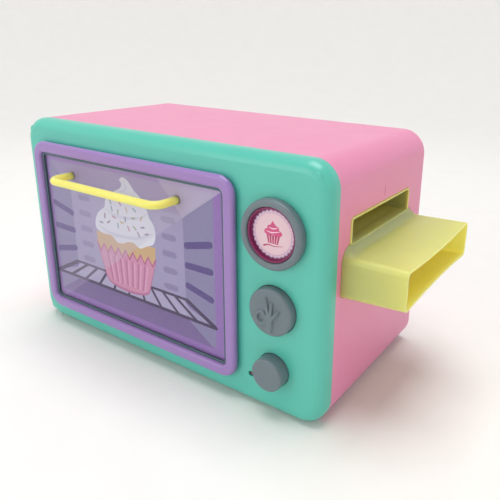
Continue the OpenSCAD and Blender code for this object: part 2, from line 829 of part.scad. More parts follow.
module batteries() {
  color("#c9a24a") for (i = [0:cells - 1])
    translate([bay_x0 + bay_t + 2.2, (i - (cells - 1) / 2) * cell_pitch, wall + cell_d / 2 + 0.4])
      rotate([0, 90, 0]) {
        cylinder(r = cell_d / 2, h = cell_len, $fn = smooth);
        translate([0, 0, cell_len - lap]) cylinder(r = 2.7, h = 1 + lap, $fn = smooth);
      }
}

module battery_contacts() {
  zc = wall + cell_d / 2 + 0.4;
  color(steel) for (i = [0:cells - 1]) {
    y = (i - (cells - 1) / 2) * cell_pitch;
    translate([bay_x0 + bay_t + 0.05, y - 4.5, zc - 5]) cube([0.4, 9, 10]);
    translate([bay_x0 + bay_t + bay_len - 0.45, y - 4.5, zc - 5]) cube([0.4, 9, 10]);
    translate([bay_x0 + bay_t + 0.3, y, zc]) rotate([0, 90, 0])
      cylinder(r1 = 3.6, r2 = 2.4, h = 1.7, $fn = smooth);
  }
}

module battery_door() {
  color(pink) difference() {
    hatch_outline(hatch_gap, 0, hatch_t);
    translate([hatch_screw_x, 0, -1])
      cylinder(r = door_screw_r + 0.15, h = hatch_t + 2, $fn = smooth);
    translate([hatch_screw_x, 0, -1]) cylinder(r = 2.1, h = 2.1, $fn = smooth);
    for (i = [0:4]) translate([bay_x0 + bay_t + 8 + i * 2.4, -8, -1]) cube([1, 16, 1.4]);
  }
}

module battery_door_screw() {
  color(steel) screw(hatch_screw_x, 0, door_screw_r, 1.9, 1, 0.1, wall + 6);
}

module wire_loom() {
  lead_r = 0.9;
  board_y = yf + board_depth + board_t;
  color(dark) {
    lead([[bay_x1 - 10, bay_y0, 10], [bay_x1 - 10, board_y + 8, 10], [bay_x1 - 10, board_y + 8, 24],
      [bay_x1 - 10, board_y, 24]], lead_r);
    lead([[speaker_x, body_d / 2 - rear_t - 13.5, speaker_z], [speaker_x, 0, speaker_z],
      [speaker_x + 10, 0, speaker_z], [speaker_x + 10, board_y, speaker_z]], lead_r);
    lead([[door_cx, liner_y1 + 5, lamp_z - lamp_r - 2], [door_cx, liner_y1 + 5, 26],
      [speaker_x - 6, liner_y1 + 5, 26], [speaker_x - 6, board_y, 26]], lead_r);
  }
}

// ---- Door ----

module door_frame() {
  color(lilac) face() difference() {
    carry_round(door, frame_r) {
      translate([frame_r - frame_w, frame_gap])
        square([frame_w - bar_round, frame_proud - frame_gap - 2.5]);
      translate([frame_r - frame_w + 2.5, frame_proud - 2.5]) square([frame_w - bar_round - 2.5, 2.5]);
      translate([frame_r - frame_w + 2.5, frame_proud - 2.5]) intersection() {
        circle(r = 2.5, $fn = smooth);
        translate([-2.5, 0]) square([2.5, 2.5]);
      }
      translate([frame_r - bar_round, frame_gap + bar_round]) circle(r = bar_round, $fn = smooth);
    }
    plate(grow(back_panel, seat_gap), -1, back_front, back_r + seat_gap);
    plate(grow(view, seal_rebate), -1, back_front + seal_seat_t, view_r + seal_rebate);
    for (x = hinge_x) {
      w = hinge_lug_w + 2 * run_gap;
      translate([x - w / 2, hinge_z, hinge_out]) rotate([0, 90, 0])
        cylinder(r = lug_r + run_gap, h = w, $fn = smooth);
      translate([x - w / 2, door[2] - 1, -1]) cube([w, bar_round + 1 + lug_r, hinge_out + 1]);
      translate([x - w / 2, door[2] - 1, 0])
        cube([w, bar_round + 1, hinge_out + lug_web + run_gap]);
      translate([x - w / 2 - 5, hinge_z, hinge_out]) rotate([0, 90, 0])
        cylinder(r = hinge_pin_d / 2 + 0.01, h = w + 10, $fn = smooth);
    }
    door_screw_places() translate([0, 0, back_front - 1])
      cylinder(r = door_screw_r + pilot_gap, h = door_screw_len + 0.2, $fn = smooth);
  }
}

// Places of the screws that hold the door's back to its frame
module door_screw_places() {
  for (x = [door[0] + side_screw_in, door[1] - side_screw_in], z = door_screw_z)
    translate([x, z, 0]) children();
  for (x = clip_x) translate([x, door[3] - side_screw_in, 0]) children();
}

module window_seal() {
  color(dark) face() difference() {
    union() {
      plate(grow(view, seal_rebate - seat_gap), back_front, back_front + seal_seat_t - seat_gap,
        view_r + seal_rebate - seat_gap);
      plate(grow(view, -seat_gap), back_front, pane_front + seal_lip_t, view_r - seat_gap);
    }
    plate(grow(pane, seat_gap), back_front - 1, pane_front, pane_r + seat_gap);
    plate(grow(pane, -seal_lip), 0, pane_front + 2, pane_r - seal_lip);
  }
}

module door_window() {
  color([0.85, 0.88, 0.95, 0.35]) face() difference() {
    plate(pane, pane_back, pane_front, pane_r);
    for (x = handle_x) post(x, handle_z, handle_hole_r, pane_back - 1, pane_front + 1);
  }
}

module picture_card() {
  color("#9a7fb8") face() difference() {
    plate(pane, back_front, pane_back, pane_r);
    for (x = handle_x) post(x, handle_z, handle_hole_r, back_front - 1, pane_back + 1);
  }
}

module door_back() {
  color(lilac) face() difference() {
    plate(back_panel, -door_back_depth, back_front, back_r);
    door_screw_places() {
      translate([0, 0, -door_back_depth - 1])
        cylinder(r = door_screw_r + 0.15, h = 6, $fn = smooth);
      translate([0, 0, -door_back_depth - 1])
        cylinder(r = door_head_r + 0.1, h = 1 + door_head_t, $fn = smooth);
    }
    for (x = handle_x) {
      post(x, handle_z, handle_screw_r + 0.2, -door_back_depth - 1, back_front + 1);
      post(x, handle_z, 2.3, -door_back_depth - 1, -door_back_depth + 1.2);
    }
    // shallow panel pressed into the inner face
    plate(grow(pane, -14), -door_back_depth - 1, -door_back_depth + 0.6, 6);
  }
}

module door_screws() {
  color(steel) face() door_screw_places()
    screw(0, 0, door_screw_r, door_head_r, door_head_t,
      -door_back_depth, back_front + door_screw_len - 1.2);
}

module door_handle() {
  leg = handle_reach - handle_bend;
  color(yellow) face() difference() {
    union() {
      for (x = handle_x) post(x, handle_z, handle_r, back_front, leg);
      translate([handle_x[0] + handle_bend, handle_z, handle_reach]) rotate([0, 90, 0])
        cylinder(r = handle_r, h = handle_span - 2 * handle_bend, $fn = smooth);
      translate([handle_x[0] + handle_bend, handle_z, leg]) rotate([90, 0, 180])
        rotate_extrude(angle = 90, $fn = smooth)
          translate([handle_bend, 0]) circle(r = handle_r, $fn = smooth);
      translate([handle_x[1] - handle_bend, handle_z, leg]) rotate([90, 0, 0])
        rotate_extrude(angle = 90, $fn = smooth)
          translate([handle_bend, 0]) circle(r = handle_r, $fn = smooth);
    }
    for (x = handle_x)
      post(x, handle_z, handle_screw_r + pilot_gap, back_front - 1, leg - 1);
  }
}

module handle_screws() {
  color(steel) face() for (x = handle_x)
    screw(x, handle_z, handle_screw_r, 2.2, 1.2, -door_back_depth, back_front + 8);
}

module hinge_pins() {
  l = hinge_lug_w + 2 * run_gap + 9;
  color(steel) face() for (x = hinge_x)
    translate([x - l / 2, hinge_z, hinge_out]) rotate([0, 90, 0])
      cylinder(r = hinge_pin_d / 2, h = l, $fn = smooth);
}

front_bezel();
housing_shell();
rear_cover();
bezel_screws();
rear_screws();
oven_liner();
liner_clips();
port_chute();
port_duct();
chute_screws();
badge_cup();
badge_label();
dial_ring();
dial_retainer();
ok_button();
ok_spring();
power_button();
power_spring();
circuit_board();
tact_switches();
board_screws();
indicator_led();
cavity_lamp();
lamp_socket();
speaker();
battery_box();
battery_contacts();
batteries();
battery_door();
battery_door_screw();
wire_loom();
door_frame();
door_window();
window_seal();
picture_card();
door_back();
door_screws();
door_handle();
handle_screws();
hinge_pins();
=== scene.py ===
"""Toy oven for a play kitchen: finishes, printed art, fine parts and a plain studio round the frame.

Everything is in metres in the part's own frame: +Z is up, the door faces -Y and the origin is
the middle of the casing's underside. Small sizes are written in millimetres times MM.
"""

import json
import math
import random

import bmesh
import bpy
from mathutils import Matrix, Vector
from mathutils.geometry import delaunay_2d_cdt

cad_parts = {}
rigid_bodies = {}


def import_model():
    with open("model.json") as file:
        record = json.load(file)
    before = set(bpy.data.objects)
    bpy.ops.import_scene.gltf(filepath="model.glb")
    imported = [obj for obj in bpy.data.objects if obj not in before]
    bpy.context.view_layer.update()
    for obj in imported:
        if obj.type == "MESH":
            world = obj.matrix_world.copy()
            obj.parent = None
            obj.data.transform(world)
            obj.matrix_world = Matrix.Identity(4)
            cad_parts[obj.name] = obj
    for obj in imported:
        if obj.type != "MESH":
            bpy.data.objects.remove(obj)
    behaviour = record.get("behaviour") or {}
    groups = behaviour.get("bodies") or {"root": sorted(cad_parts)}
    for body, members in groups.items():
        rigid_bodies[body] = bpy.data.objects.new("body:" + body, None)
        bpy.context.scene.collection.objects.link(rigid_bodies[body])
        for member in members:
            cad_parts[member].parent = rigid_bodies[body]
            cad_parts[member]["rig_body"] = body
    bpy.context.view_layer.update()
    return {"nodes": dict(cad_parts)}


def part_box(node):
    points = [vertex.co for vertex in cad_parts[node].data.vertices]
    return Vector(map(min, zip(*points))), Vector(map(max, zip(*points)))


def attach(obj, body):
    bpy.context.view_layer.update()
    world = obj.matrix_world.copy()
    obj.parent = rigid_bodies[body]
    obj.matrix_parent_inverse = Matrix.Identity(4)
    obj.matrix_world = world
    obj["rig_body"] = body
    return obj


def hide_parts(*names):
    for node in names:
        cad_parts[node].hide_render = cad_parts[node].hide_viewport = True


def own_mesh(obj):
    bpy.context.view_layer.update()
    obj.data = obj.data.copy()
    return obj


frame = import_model()
NODES = frame["nodes"]
SLOTS = {name: node.data.materials[0].name for name, node in NODES.items()}
MM = 0.001

# ---- Camera: a wide lens close to the door's right, looking down on the lid ----

CAMERA_AT = (0.2969, -0.3431, 0.2518)
CAMERA_RIGHT = Vector((0.8343, 0.5510, 0.0180))
CAMERA_LOOK = Vector((-0.5205, 0.7980, -0.3039))
LENS_MM = 39.48
SHIFT = (-0.0804, -0.0740)


def make_camera():
    """Stands the camera where the object is seen from its right front corner."""
    data = bpy.data.cameras.new("camera")
    data.lens = LENS_MM
    data.shift_x, data.shift_y = SHIFT
    data.clip_start = 0.01
    camera = bpy.data.objects.new("camera", data)
    up = CAMERA_RIGHT.cross(CAMERA_LOOK)
    turn = Matrix((CAMERA_RIGHT, up, -CAMERA_LOOK)).transposed()
    camera.matrix_world = Matrix.Translation(CAMERA_AT) @ turn.to_4x4()
    bpy.context.scene.collection.objects.link(camera)
    bpy.context.scene.camera = camera


# ---- Studio: a pale sweep, a large soft box above and a small one before the door ----

FLOOR_DROP = 0.3 * MM


def softbox(name, at, aim, size, watts):
    """Square area light at a point, turned towards another."""
    data = bpy.data.lights.new(name, "AREA")
    data.size = size
    data.energy = watts
    lamp = bpy.data.objects.new(name, data)
    lamp.location = at
    lamp.rotation_euler = (Vector(aim) - Vector(at)).to_track_quat("-Z", "Y").to_euler()
    bpy.context.scene.collection.objects.link(lamp)


def make_studio():
    """Floor that curves up into a backdrop on every side, and the lights."""
    bpy.context.scene.view_settings.view_transform = "Standard"
    world = bpy.data.worlds.new("soft white room")
    world.use_nodes = True
    world.node_tree.nodes["Background"].inputs["Color"].default_value = (1, 1, 1, 1)
    world.node_tree.nodes["Background"].inputs["Strength"].default_value = 0.24
    bpy.context.scene.world = world
    softbox("top_softbox", (0.0, 0.0, 2.5), (0, 0, 0.1), 1.6, 44)
    softbox("door_softbox", (-0.55, -1.25, 0.55), (0, 0, 0.09), 0.8, 3.6)
    sweep = rounded([(0, 0), (2.4, 0, 1.2), (2.4, 3.2)], 20)
    sweep = [point for point in sweep if point != sweep[0] or point == (0, 0)]
    floor = revolve("studio_floor", sweep, (0, 0, -FLOOR_DROP), "Z", 96)
    floor.data.materials.append(FINISH["paper_sweep"])


# ---- Materials ----


def linear(code):
    """Linear colour of an sRGB hex code such as 63c9b5."""
    parts = [int(code[i:i + 2], 16) / 255 for i in (0, 2, 4)]
    return [c / 12.92 if c <= 0.04045 else ((c + 0.055) / 1.055) ** 2.4 for c in parts] + [1.0]


def add(tree, kind, sockets=None, **settings):
    """Adds a node, sets its properties, then gives its sockets their values or links."""
    made = tree.nodes.new(kind)
    for name, value in settings.items():
        setattr(made, name, value)
    for name, value in (sockets or {}).items():
        if isinstance(value, bpy.types.NodeSocket):
            tree.links.new(value, made.inputs[name])
        else:
            made.inputs[name].default_value = value
    return made


def per(size_mm):
    """Texture scale that gives features of this size on Object coordinates."""
    return 1000 / size_mm


FINISH = {}
MIX_FACTOR, MIX_A, MIX_B, MIX_OUT = 0, 6, 7, 2


def start_finish(name, settings):
    """New material with its Principled sockets set; gives its tree, shader and coordinates."""
    material = bpy.data.materials.new(name)
    material.use_nodes = True
    tree = material.node_tree
    shader = tree.nodes["Principled BSDF"]
    for socket, value in settings.items():
        shader.inputs[socket].default_value = value
    FINISH[name] = material
    return tree, shader, add(tree, "ShaderNodeTexCoord").outputs["Object"]


def noise_at(tree, where, size_mm, detail=2.0, stretch=None):
    """Noise with features of a size, drawn out along an axis if stretch is given."""
    if stretch:
        where = add(tree, "ShaderNodeMapping", {"Vector": where, "Scale": stretch}).outputs[0]
    return add(tree, "ShaderNodeTexNoise",
               {"Vector": where, "Scale": per(size_mm), "Detail": detail}).outputs[0]


def spread(tree, value, low, high):
    """Noise's usual middle band stretched to the range low to high."""
    return add(tree, "ShaderNodeMapRange", {
        "Value": value, "From Min": 0.3, "From Max": 0.7, "To Min": low, "To Max": high}).outputs[0]


def shade(code, share):
    """The hex code's linear colour, lighter or darker by a share."""
    return [min(1.0, c * share) for c in linear(code)[:3]] + [1.0]


def moulded(name, pigment, rough, grain_mm, grain_depth, cloud=0.012, ior=1.53, **extra):
    """Injection-moulded plastic: pigment that clouds softly where the melt flowed, a moulded grain
    in the surface, and gloss that changes a little where hands have rubbed it."""
    tree, shader, where = start_finish(name, {"IOR": ior, **extra})
    flow = noise_at(tree, where, 38, 3, (1, 1, 0.45))
    colour = add(tree, "ShaderNodeMix", {
        MIX_FACTOR: spread(tree, flow, 0, 1),
        MIX_A: shade(pigment, 1 - cloud),
        MIX_B: shade(pigment, 1 + cloud)}, data_type="RGBA").outputs[MIX_OUT]
    speck = noise_at(tree, where, 0.8, 1)
    tone = add(tree, "ShaderNodeMix", {
        MIX_FACTOR: spread(tree, speck, 0, 0.02),
        MIX_A: colour,
        MIX_B: shade(pigment, 0.72)}, data_type="RGBA").outputs[MIX_OUT]
    tree.links.new(tone, shader.inputs["Base Color"])
    rubbed = noise_at(tree, where, 16, 4)
    tree.links.new(spread(tree, rubbed, rough - 0.02, rough + 0.025), shader.inputs["Roughness"])
    grain = noise_at(tree, where, grain_mm, 3)
    wave = noise_at(tree, where, 34, 0)
    relief = add(tree, "ShaderNodeBump", {"Height": wave, "Strength": 0.3, "Distance": 0.03 * MM}).outputs[0]
    fine = add(tree, "ShaderNodeBump",
               {"Height": grain, "Strength": 0.6, "Distance": grain_depth * MM, "Normal": relief})
    tree.links.new(fine.outputs[0], shader.inputs["Normal"])
    return FINISH[name]


def metal(name, colour, rough, along):
    """Zinc-plated steel: a pale blue-grey metal with fine lines from drawing and turning."""
    tree, shader, where = start_finish(name, {"Metallic": 1.0})
    lines = noise_at(tree, where, 0.5, 3, along)
    stain = noise_at(tree, where, 5, 3)
    tone = add(tree, "ShaderNodeMix", {
        MIX_FACTOR: spread(tree, stain, 0, 1),
        MIX_A: shade(colour, 0.85),
        MIX_B: linear(colour)}, data_type="RGBA").outputs[MIX_OUT]
    tree.links.new(tone, shader.inputs["Base Color"])
    tree.links.new(spread(tree, lines, rough - 0.08, rough + 0.1), shader.inputs["Roughness"])
    bump = add(tree, "ShaderNodeBump", {"Height": lines, "Strength": 0.3, "Distance": 0.02 * MM})
    tree.links.new(bump.outputs[0], shader.inputs["Normal"])


def printed(name, rough, board_mm):
    """Offset print on coated card: the ink's colour from the mesh, a faint paper tooth and a soft sheen."""
    tree, shader, where = start_finish(name, {"IOR": 1.48})
    ink = add(tree, "ShaderNodeVertexColor", layer_name="ink").outputs["Color"]
    tooth = noise_at(tree, where, board_mm, 3)
    tone = add(tree, "ShaderNodeMix", {
        MIX_FACTOR: spread(tree, tooth, 0, 0.07),
        MIX_A: ink,
        MIX_B: linear("ffffff")}, data_type="RGBA").outputs[MIX_OUT]
    tree.links.new(tone, shader.inputs["Base Color"])
    tree.links.new(spread(tree, tooth, rough - 0.05, rough + 0.05), shader.inputs["Roughness"])


def clear_sheet(name, tint, haze, rough):
    """Clear polystyrene: mostly see-through, with a skin that mirrors more at a glance and a faint haze."""
    tree, shader, where = start_finish(name, {"IOR": 1.59, "Base Color": linear(tint)})
    smear = noise_at(tree, where, 24, 4, (1, 1, 0.4))
    tree.links.new(spread(tree, smear, rough, rough + 0.06), shader.inputs["Roughness"])
    facing = add(tree, "ShaderNodeLayerWeight", {"Blend": 0.5}).outputs["Facing"]
    steep = add(tree, "ShaderNodeMath", {0: facing, 1: 5.0}, operation="POWER").outputs[0]
    cover = add(tree, "ShaderNodeMapRange", {"Value": steep, "To Min": haze, "To Max": 1.0}).outputs[0]
    through = add(tree, "ShaderNodeBsdfTransparent", {"Color": (0.97, 0.97, 0.985, 1)})
    mixed = add(tree, "ShaderNodeMixShader", {0: cover, 1: through.outputs[0], 2: shader.outputs[0]})
    tree.links.new(mixed.outputs[0], tree.nodes["Material Output"].inputs["Surface"])


def make_finishes():
    """Every finish, named for the record's material slot that it dresses."""
    # ABS with a polished mould: wet-looking gloss with a very slight orange peel
    moulded("mint_abs", "59c2b0", 0.30, 0.9, 0.004)
    # ABS from a fine spark-eroded mould: satin, so the big flat sides glow softly
    moulded("pink_abs", "e68cb3", 0.36, 1.2, 0.008)
    moulded("lilac_abs", "9c7dbb", 0.30, 0.9, 0.004)
    # polypropylene is waxy: softer gloss, a slightly milky colour
    moulded("yellow_pp", "f0dd78", 0.40, 1.4, 0.008, ior=1.49,
            **{"Subsurface Weight": 1.0, "Subsurface Radius": (1.0, 0.75, 0.3), "Subsurface Scale": 18 * MM})
    moulded("grey_abs", "6a787f", 0.38, 0.9, 0.010)
    # unpainted moulding behind the casing, duller and darker
    moulded("inner_plastic", "4a4658", 0.48, 0.6, 0.030)
    moulded("white_plastic", "e8e6e0", 0.42, 0.6, 0.02)
    # deep magenta cup behind the label, glossy
    moulded("badge_plastic", "8c2a5e", 0.30, 0.8, 0.01)
    # soft grey-green gasket lip, nearly matt
    moulded("seal_plastic", "46606a", 0.45, 0.5, 0.02)
    # glass-fibre board under green lacquer: a fine grain and a strongly clouded tone
    moulded("board_laminate", "2f7a4c", 0.33, 0.9, 0.03, cloud=0.12)
    # tinted epoxy of the little lamp
    moulded("led_resin", "5a2634", 0.20, 0.9, 0.005)
    moulded("lamp_glass", "f6e3b4", 0.25, 1.0, 0.01)
    moulded("speaker_body", "2b2c30", 0.60, 0.35, 0.05)
    moulded("cell_jacket", "c9a24a", 0.30, 1.5, 0.01)
    moulded("wire_pvc", "a53f3f", 0.45, 0.8, 0.02)
    metal("zinc_steel", "c6ccd2", 0.32, (1, 0.1, 1))
    printed("printed_card", 0.42, 0.7)
    printed("printed_label", 0.34, 0.5)
    clear_sheet("clear_ps", "a8a4b4", 0.02, 0.06)
    # seamless paper: matt, near white
    moulded("paper_sweep", "f3f2f0", 0.85, 2.5, 0.05, cloud=0.008)


# ---- Mesh helpers ----


def link_mesh(name, bm, smooth_deg=40):
    """Object from a bmesh, smooth except where faces meet at a sharp angle."""
    mesh = bpy.data.meshes.new(name)
    bm.to_mesh(mesh)
    bm.free()
    for face in mesh.polygons:
        face.use_smooth = True
    mesh.set_sharp_from_angle(angle=math.radians(smooth_deg))
    made = bpy.data.objects.new(name, mesh)
    bpy.context.scene.collection.objects.link(made)
    return made


def settle(made):
    """Applies an object's modifiers, so that its mesh is final."""
    graph = bpy.context.evaluated_depsgraph_get()
    mesh = bpy.data.meshes.new_from_object(made.evaluated_get(graph))
    made.modifiers.clear()
    made.data = mesh
    return made


AXES = {"X": (1, 2, 0), "Y": (0, 2, 1), "Z": (0, 1, 2)}


def revolve(name, profile, centre, axis, steps, closed=False):
    """Turns (radius, height) points round an axis. A closed profile makes a ring, or a solid
    where it touches the axis at radius 0."""
    a, b, c = AXES[axis]
    bm = bmesh.new()
    rings = []
    for radius, height in profile:
        ring = []
        for i in range(steps if radius > 1e-7 else 1):
            turn = 2 * math.pi * i / steps
            place = [0, 0, 0]
            place[a] = centre[a] + radius * math.cos(turn)
            place[b] = centre[b] + radius * math.sin(turn)
            place[c] = centre[c] + height
            ring.append(bm.verts.new(place))
        rings.append(ring)
    pairs = list(zip(rings, rings[1:])) + ([(rings[-1], rings[0])] if closed else [])
    for low, high in pairs:
        for i in range(steps):
            j = (i + 1) % steps
            corners = [low[i % len(low)], low[j % len(low)], high[j % len(high)], high[i % len(high)]]
            face = list(dict.fromkeys(corners))
            if len(face) > 2:
                bm.faces.new(face)
    bmesh.ops.recalc_face_normals(bm, faces=bm.faces)
    return link_mesh(name, bm)


def rounded(corners, steps=6):
    """Profile with its corners rounded. Each corner is (x, y) or (x, y, radius)."""
    out = []
    for i, corner in enumerate(corners):
        here = Vector(corner[:2])
        radius = corner[2] if len(corner) > 2 else 0
        if not radius:
            out.append(tuple(here))
            continue
        before = (Vector(corners[i - 1][:2]) - here).normalized()
        after = (Vector(corners[(i + 1) % len(corners)][:2]) - here).normalized()
        half = before.angle(after) / 2
        hub = here + (before + after).normalized() * radius / math.sin(half)
        first = (here + before * radius / math.tan(half) - hub).normalized()
        last = (here + after * radius / math.tan(half) - hub).normalized()
        out += [tuple(hub + radius * first.slerp(last, k / steps)) for k in range(steps + 1)]
    return out


def tube(name, path, radius, sides):
    """Round rod along a path of points, closed at both ends."""
    bm = bmesh.new()
    points = [Vector(p) for p in path]
    across = None
    rings = []
    for i, point in enumerate(points):
        ahead = (points[min(i + 1, len(points) - 1)] - points[max(i - 1, 0)]).normalized()
        across = ahead.orthogonal() if across is None else across - ahead * across.dot(ahead)
        across.normalize()
        other = ahead.cross(across)
        rings.append([bm.verts.new(point + radius * (math.cos(t) * across + math.sin(t) * other))
                      for t in (2 * math.pi * k / sides for k in range(sides))])
    for low, high in zip(rings, rings[1:]):
        for k in range(sides):
            bm.faces.new([low[k], low[(k + 1) % sides], high[(k + 1) % sides], high[k]])
    bm.faces.new(rings[0][::-1])
    bm.faces.new(rings[-1])
    bmesh.ops.recalc_face_normals(bm, faces=bm.faces)
    return link_mesh(name, bm)


def dress(made, node, finish=None):
    """Gives a piece its finish and lets it stand for a CAD node on that node's body."""
    slot = finish or SLOTS[node]
    made.data.materials.clear()
    made.data.materials.append(FINISH[slot])
    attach(made, NODES[node]["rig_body"])
    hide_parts(node)
    return made


def refined(node, edge_mm, crease_deg=32, segments=3):
    """Copy of a CAD node with its flats joined, its curves smooth and its edges broken by a small
    radius, as a mould leaves them."""
    bm = bmesh.new()
    bm.from_mesh(NODES[node].data)
    bmesh.ops.remove_doubles(bm, verts=bm.verts, dist=2e-6)
    bmesh.ops.dissolve_limit(bm, angle_limit=math.radians(0.3), verts=bm.verts, edges=bm.edges)
    plain = bpy.data.meshes.new("plain")
    bm.to_mesh(plain)
    bm.free()
    bare = bmesh.new()
    points = [bare.verts.new(v.co) for v in plain.vertices]
    for face in plain.polygons:
        bare.faces.new([points[i] for i in face.vertices])
    bpy.data.meshes.remove(plain)
    made = link_mesh(node + "_skin", bare, crease_deg)
    bevel = made.modifiers.new("edges", "BEVEL")
    bevel.width = edge_mm * MM
    bevel.segments = segments
    bevel.limit_method = "ANGLE"
    bevel.angle_limit = math.radians(crease_deg)
    bevel.use_clamp_overlap = False
    flat = made.modifiers.new("flats", "WEIGHTED_NORMAL")
    flat.keep_sharp = True
    return dress(settle(made), node)


# ---- Flat shapes for the printed art, in millimetres: x to the right and z up ----


def capsule(x0, z0, x1, z1, width, steps=8):
    """Straight stroke with round ends."""
    aim = math.atan2(z1 - z0, x1 - x0)
    turns = [aim - math.pi / 2 + math.pi * k / steps for k in range(steps + 1)]
    r = width / 2
    return ([(x1 + r * math.cos(t), z1 + r * math.sin(t)) for t in turns]
            + [(x0 - r * math.cos(t), z0 - r * math.sin(t)) for t in turns])


def bar(x0, z0, x1, z1, width):
    """Straight stroke with square ends."""
    along = Vector((x1 - x0, z1 - z0)).normalized()
    side = Vector((-along.y, along.x)) * width / 2
    return [(x + k * side.x, z + k * side.y)
            for x, z, k in ((x0, z0, -1), (x1, z1, -1), (x1, z1, 1), (x0, z0, 1))]


def curved(points, steps=5, closed=True):
    """Smooth line through points, as one outline."""
    count = len(points)
    out = []
    for i in range(count if closed else count - 1):
        if closed:
            a, b, c, d = (Vector(points[(i + k) % count]) for k in (-1, 0, 1, 2))
        else:
            a, b, c, d = (Vector(points[min(max(i + k, 0), count - 1)]) for k in (-1, 0, 1, 2))
        for k in range(steps):
            t = k / steps
            spot = 0.5 * (2 * b + (c - a) * t + (2 * a - 5 * b + 4 * c - d) * t ** 2
                          + (3 * b - a - 3 * c + d) * t ** 3)
            out.append(tuple(spot))
    return out if closed else out + [tuple(points[-1])]


def ribbon(points, widths, steps=5):
    """Curved brush stroke whose width changes along it."""
    line = [Vector(p) for p in curved(points, steps, closed=False)]
    left, right = [], []
    for i, spot in enumerate(line):
        ahead = (line[min(i + 1, len(line) - 1)] - line[max(i - 1, 0)]).normalized()
        share = i / (len(line) - 1) * (len(widths) - 1)
        low = min(int(share), len(widths) - 2)
        width = widths[low] + (widths[low + 1] - widths[low]) * (share - low)
        side = Vector((-ahead.y, ahead.x)) * width / 2
        left.append(tuple(spot - side))
        right.append(tuple(spot + side))
    return left + right[::-1]


def disc(x, z, r, steps=24):
    """Round outline."""
    return [(x + r * math.cos(2 * math.pi * k / steps), z + r * math.sin(2 * math.pi * k / steps))
            for k in range(steps)]


def plate_outline(x0, x1, z0, z1, r, steps=8):
    """Rectangle with round corners."""
    hubs = ((x1 - r, z1 - r, 0), (x0 + r, z1 - r, 1), (x0 + r, z0 + r, 2), (x1 - r, z0 + r, 3))
    turns = [(x, z, math.pi / 2 * (q + k / steps)) for x, z, q in hubs for k in range(steps + 1)]
    return [(x + r * math.cos(turn), z + r * math.sin(turn)) for x, z, turn in turns]


def anticlockwise(outline):
    """The outline in the order that the triangulation wants, without repeated points."""
    kept = [p for i, p in enumerate(outline)
            if (Vector(p) - Vector(outline[i - 1])).length > 1e-4]
    area = sum(a[0] * b[1] - b[0] * a[1] for a, b in zip(kept, kept[1:] + kept[:1]))
    return kept if area > 0 else kept[::-1]


def span(outline):
    """Lowest and highest x and z of an outline."""
    return (min(p[0] for p in outline), max(p[0] for p in outline),
            min(p[1] for p in outline), max(p[1] for p in outline))


def covers(outline, box, spot):
    """True if a point lies inside an outline, by the number of sides to its right."""
    if not (box[0] < spot.x < box[1] and box[2] < spot.y < box[3]):
        return False
    inside = False
    for (ax, az), (bx, bz) in zip(outline, outline[1:] + outline[:1]):
        if (az > spot.y) != (bz > spot.y) and spot.x < ax + (spot.y - az) * (bx - ax) / (bz - az):
            inside = not inside
    return inside


def printed_sheet(name, outline, holes, layers, front, depth, paper):
    """Flat sheet printed on its front. Each layer is (outline, hex ink, cover), laid over the ones
    before it. All outlines are cut into one flat mesh, and each face takes the ink that it shows."""
    points, lines = [], []
    for shape in [outline] + [layer[0] for layer in layers] + holes:
        start = len(points)
        points += [Vector(p) for p in anticlockwise(shape)]
        last = len(points) - 1
        lines += [(i, i + 1) for i in range(start, last)] + [(last, start)]
    rim = list(range(len(anticlockwise(outline))))
    cut = delaunay_2d_cdt(points, lines, [rim], 1, 1e-4)
    spots, cells = cut[0], cut[2]
    inks = [(shape, span(shape), linear(ink), cover) for shape, ink, cover in layers]
    gaps = [(shape, span(shape)) for shape in holes]
    bm = bmesh.new()
    colour = bm.loops.layers.float_color.new("ink")
    corners = [bm.verts.new((p.x * MM, front, p.y * MM)) for p in spots]
    for cell in cells:
        middle = sum((spots[i] for i in cell), Vector((0, 0))) / len(cell)
        if any(covers(shape, box, middle) for shape, box in gaps):
            continue
        tone = linear(paper)
        for shape, box, ink, cover in inks:
            if covers(shape, box, middle):
                tone = [a + (b - a) * cover for a, b in zip(tone, ink)]
        face = bm.faces.new([corners[i] for i in cell])
        for loop in face.loops:
            loop[colour] = tone
    bmesh.ops.delete(bm, geom=[v for v in bm.verts if not v.link_faces], context="VERTS")
    made = bmesh.ops.extrude_face_region(bm, geom=bm.faces[:], use_keep_orig=True)
    back = [v for v in made["geom"] if isinstance(v, bmesh.types.BMVert)]
    bmesh.ops.translate(bm, verts=back, vec=(0, depth, 0))
    for face in bm.faces:
        if any(v.co.y > front + depth / 2 for v in face.verts):
            for loop in face.loops:
                loop[colour] = linear(paper)
    bmesh.ops.recalc_face_normals(bm, faces=bm.faces)
    return link_mesh(name, bm, 30)


# ---- Picture behind the door: an oven with a cupcake on its rack, seen from the front ----

LILAC_BORDER, WALL, BACK_WALL, FLOOR_INK = "9a72bb", "8f88ae", "a79fc2", "755d95"
SLOT_INK, RACK_INK, PALE_INK = "513c84", "38204f", "cdc6df"
# The drawing's room: its opening's sides, foot and top, and its back wall's sides and top
ROOM = (-118.2, 61.5, 35, 152)
FAR = (-93, 33, 131)
RACK_FRONT, RACK_BACK = (-122, 62, 51.2), (-92.5, 33.5, 66)


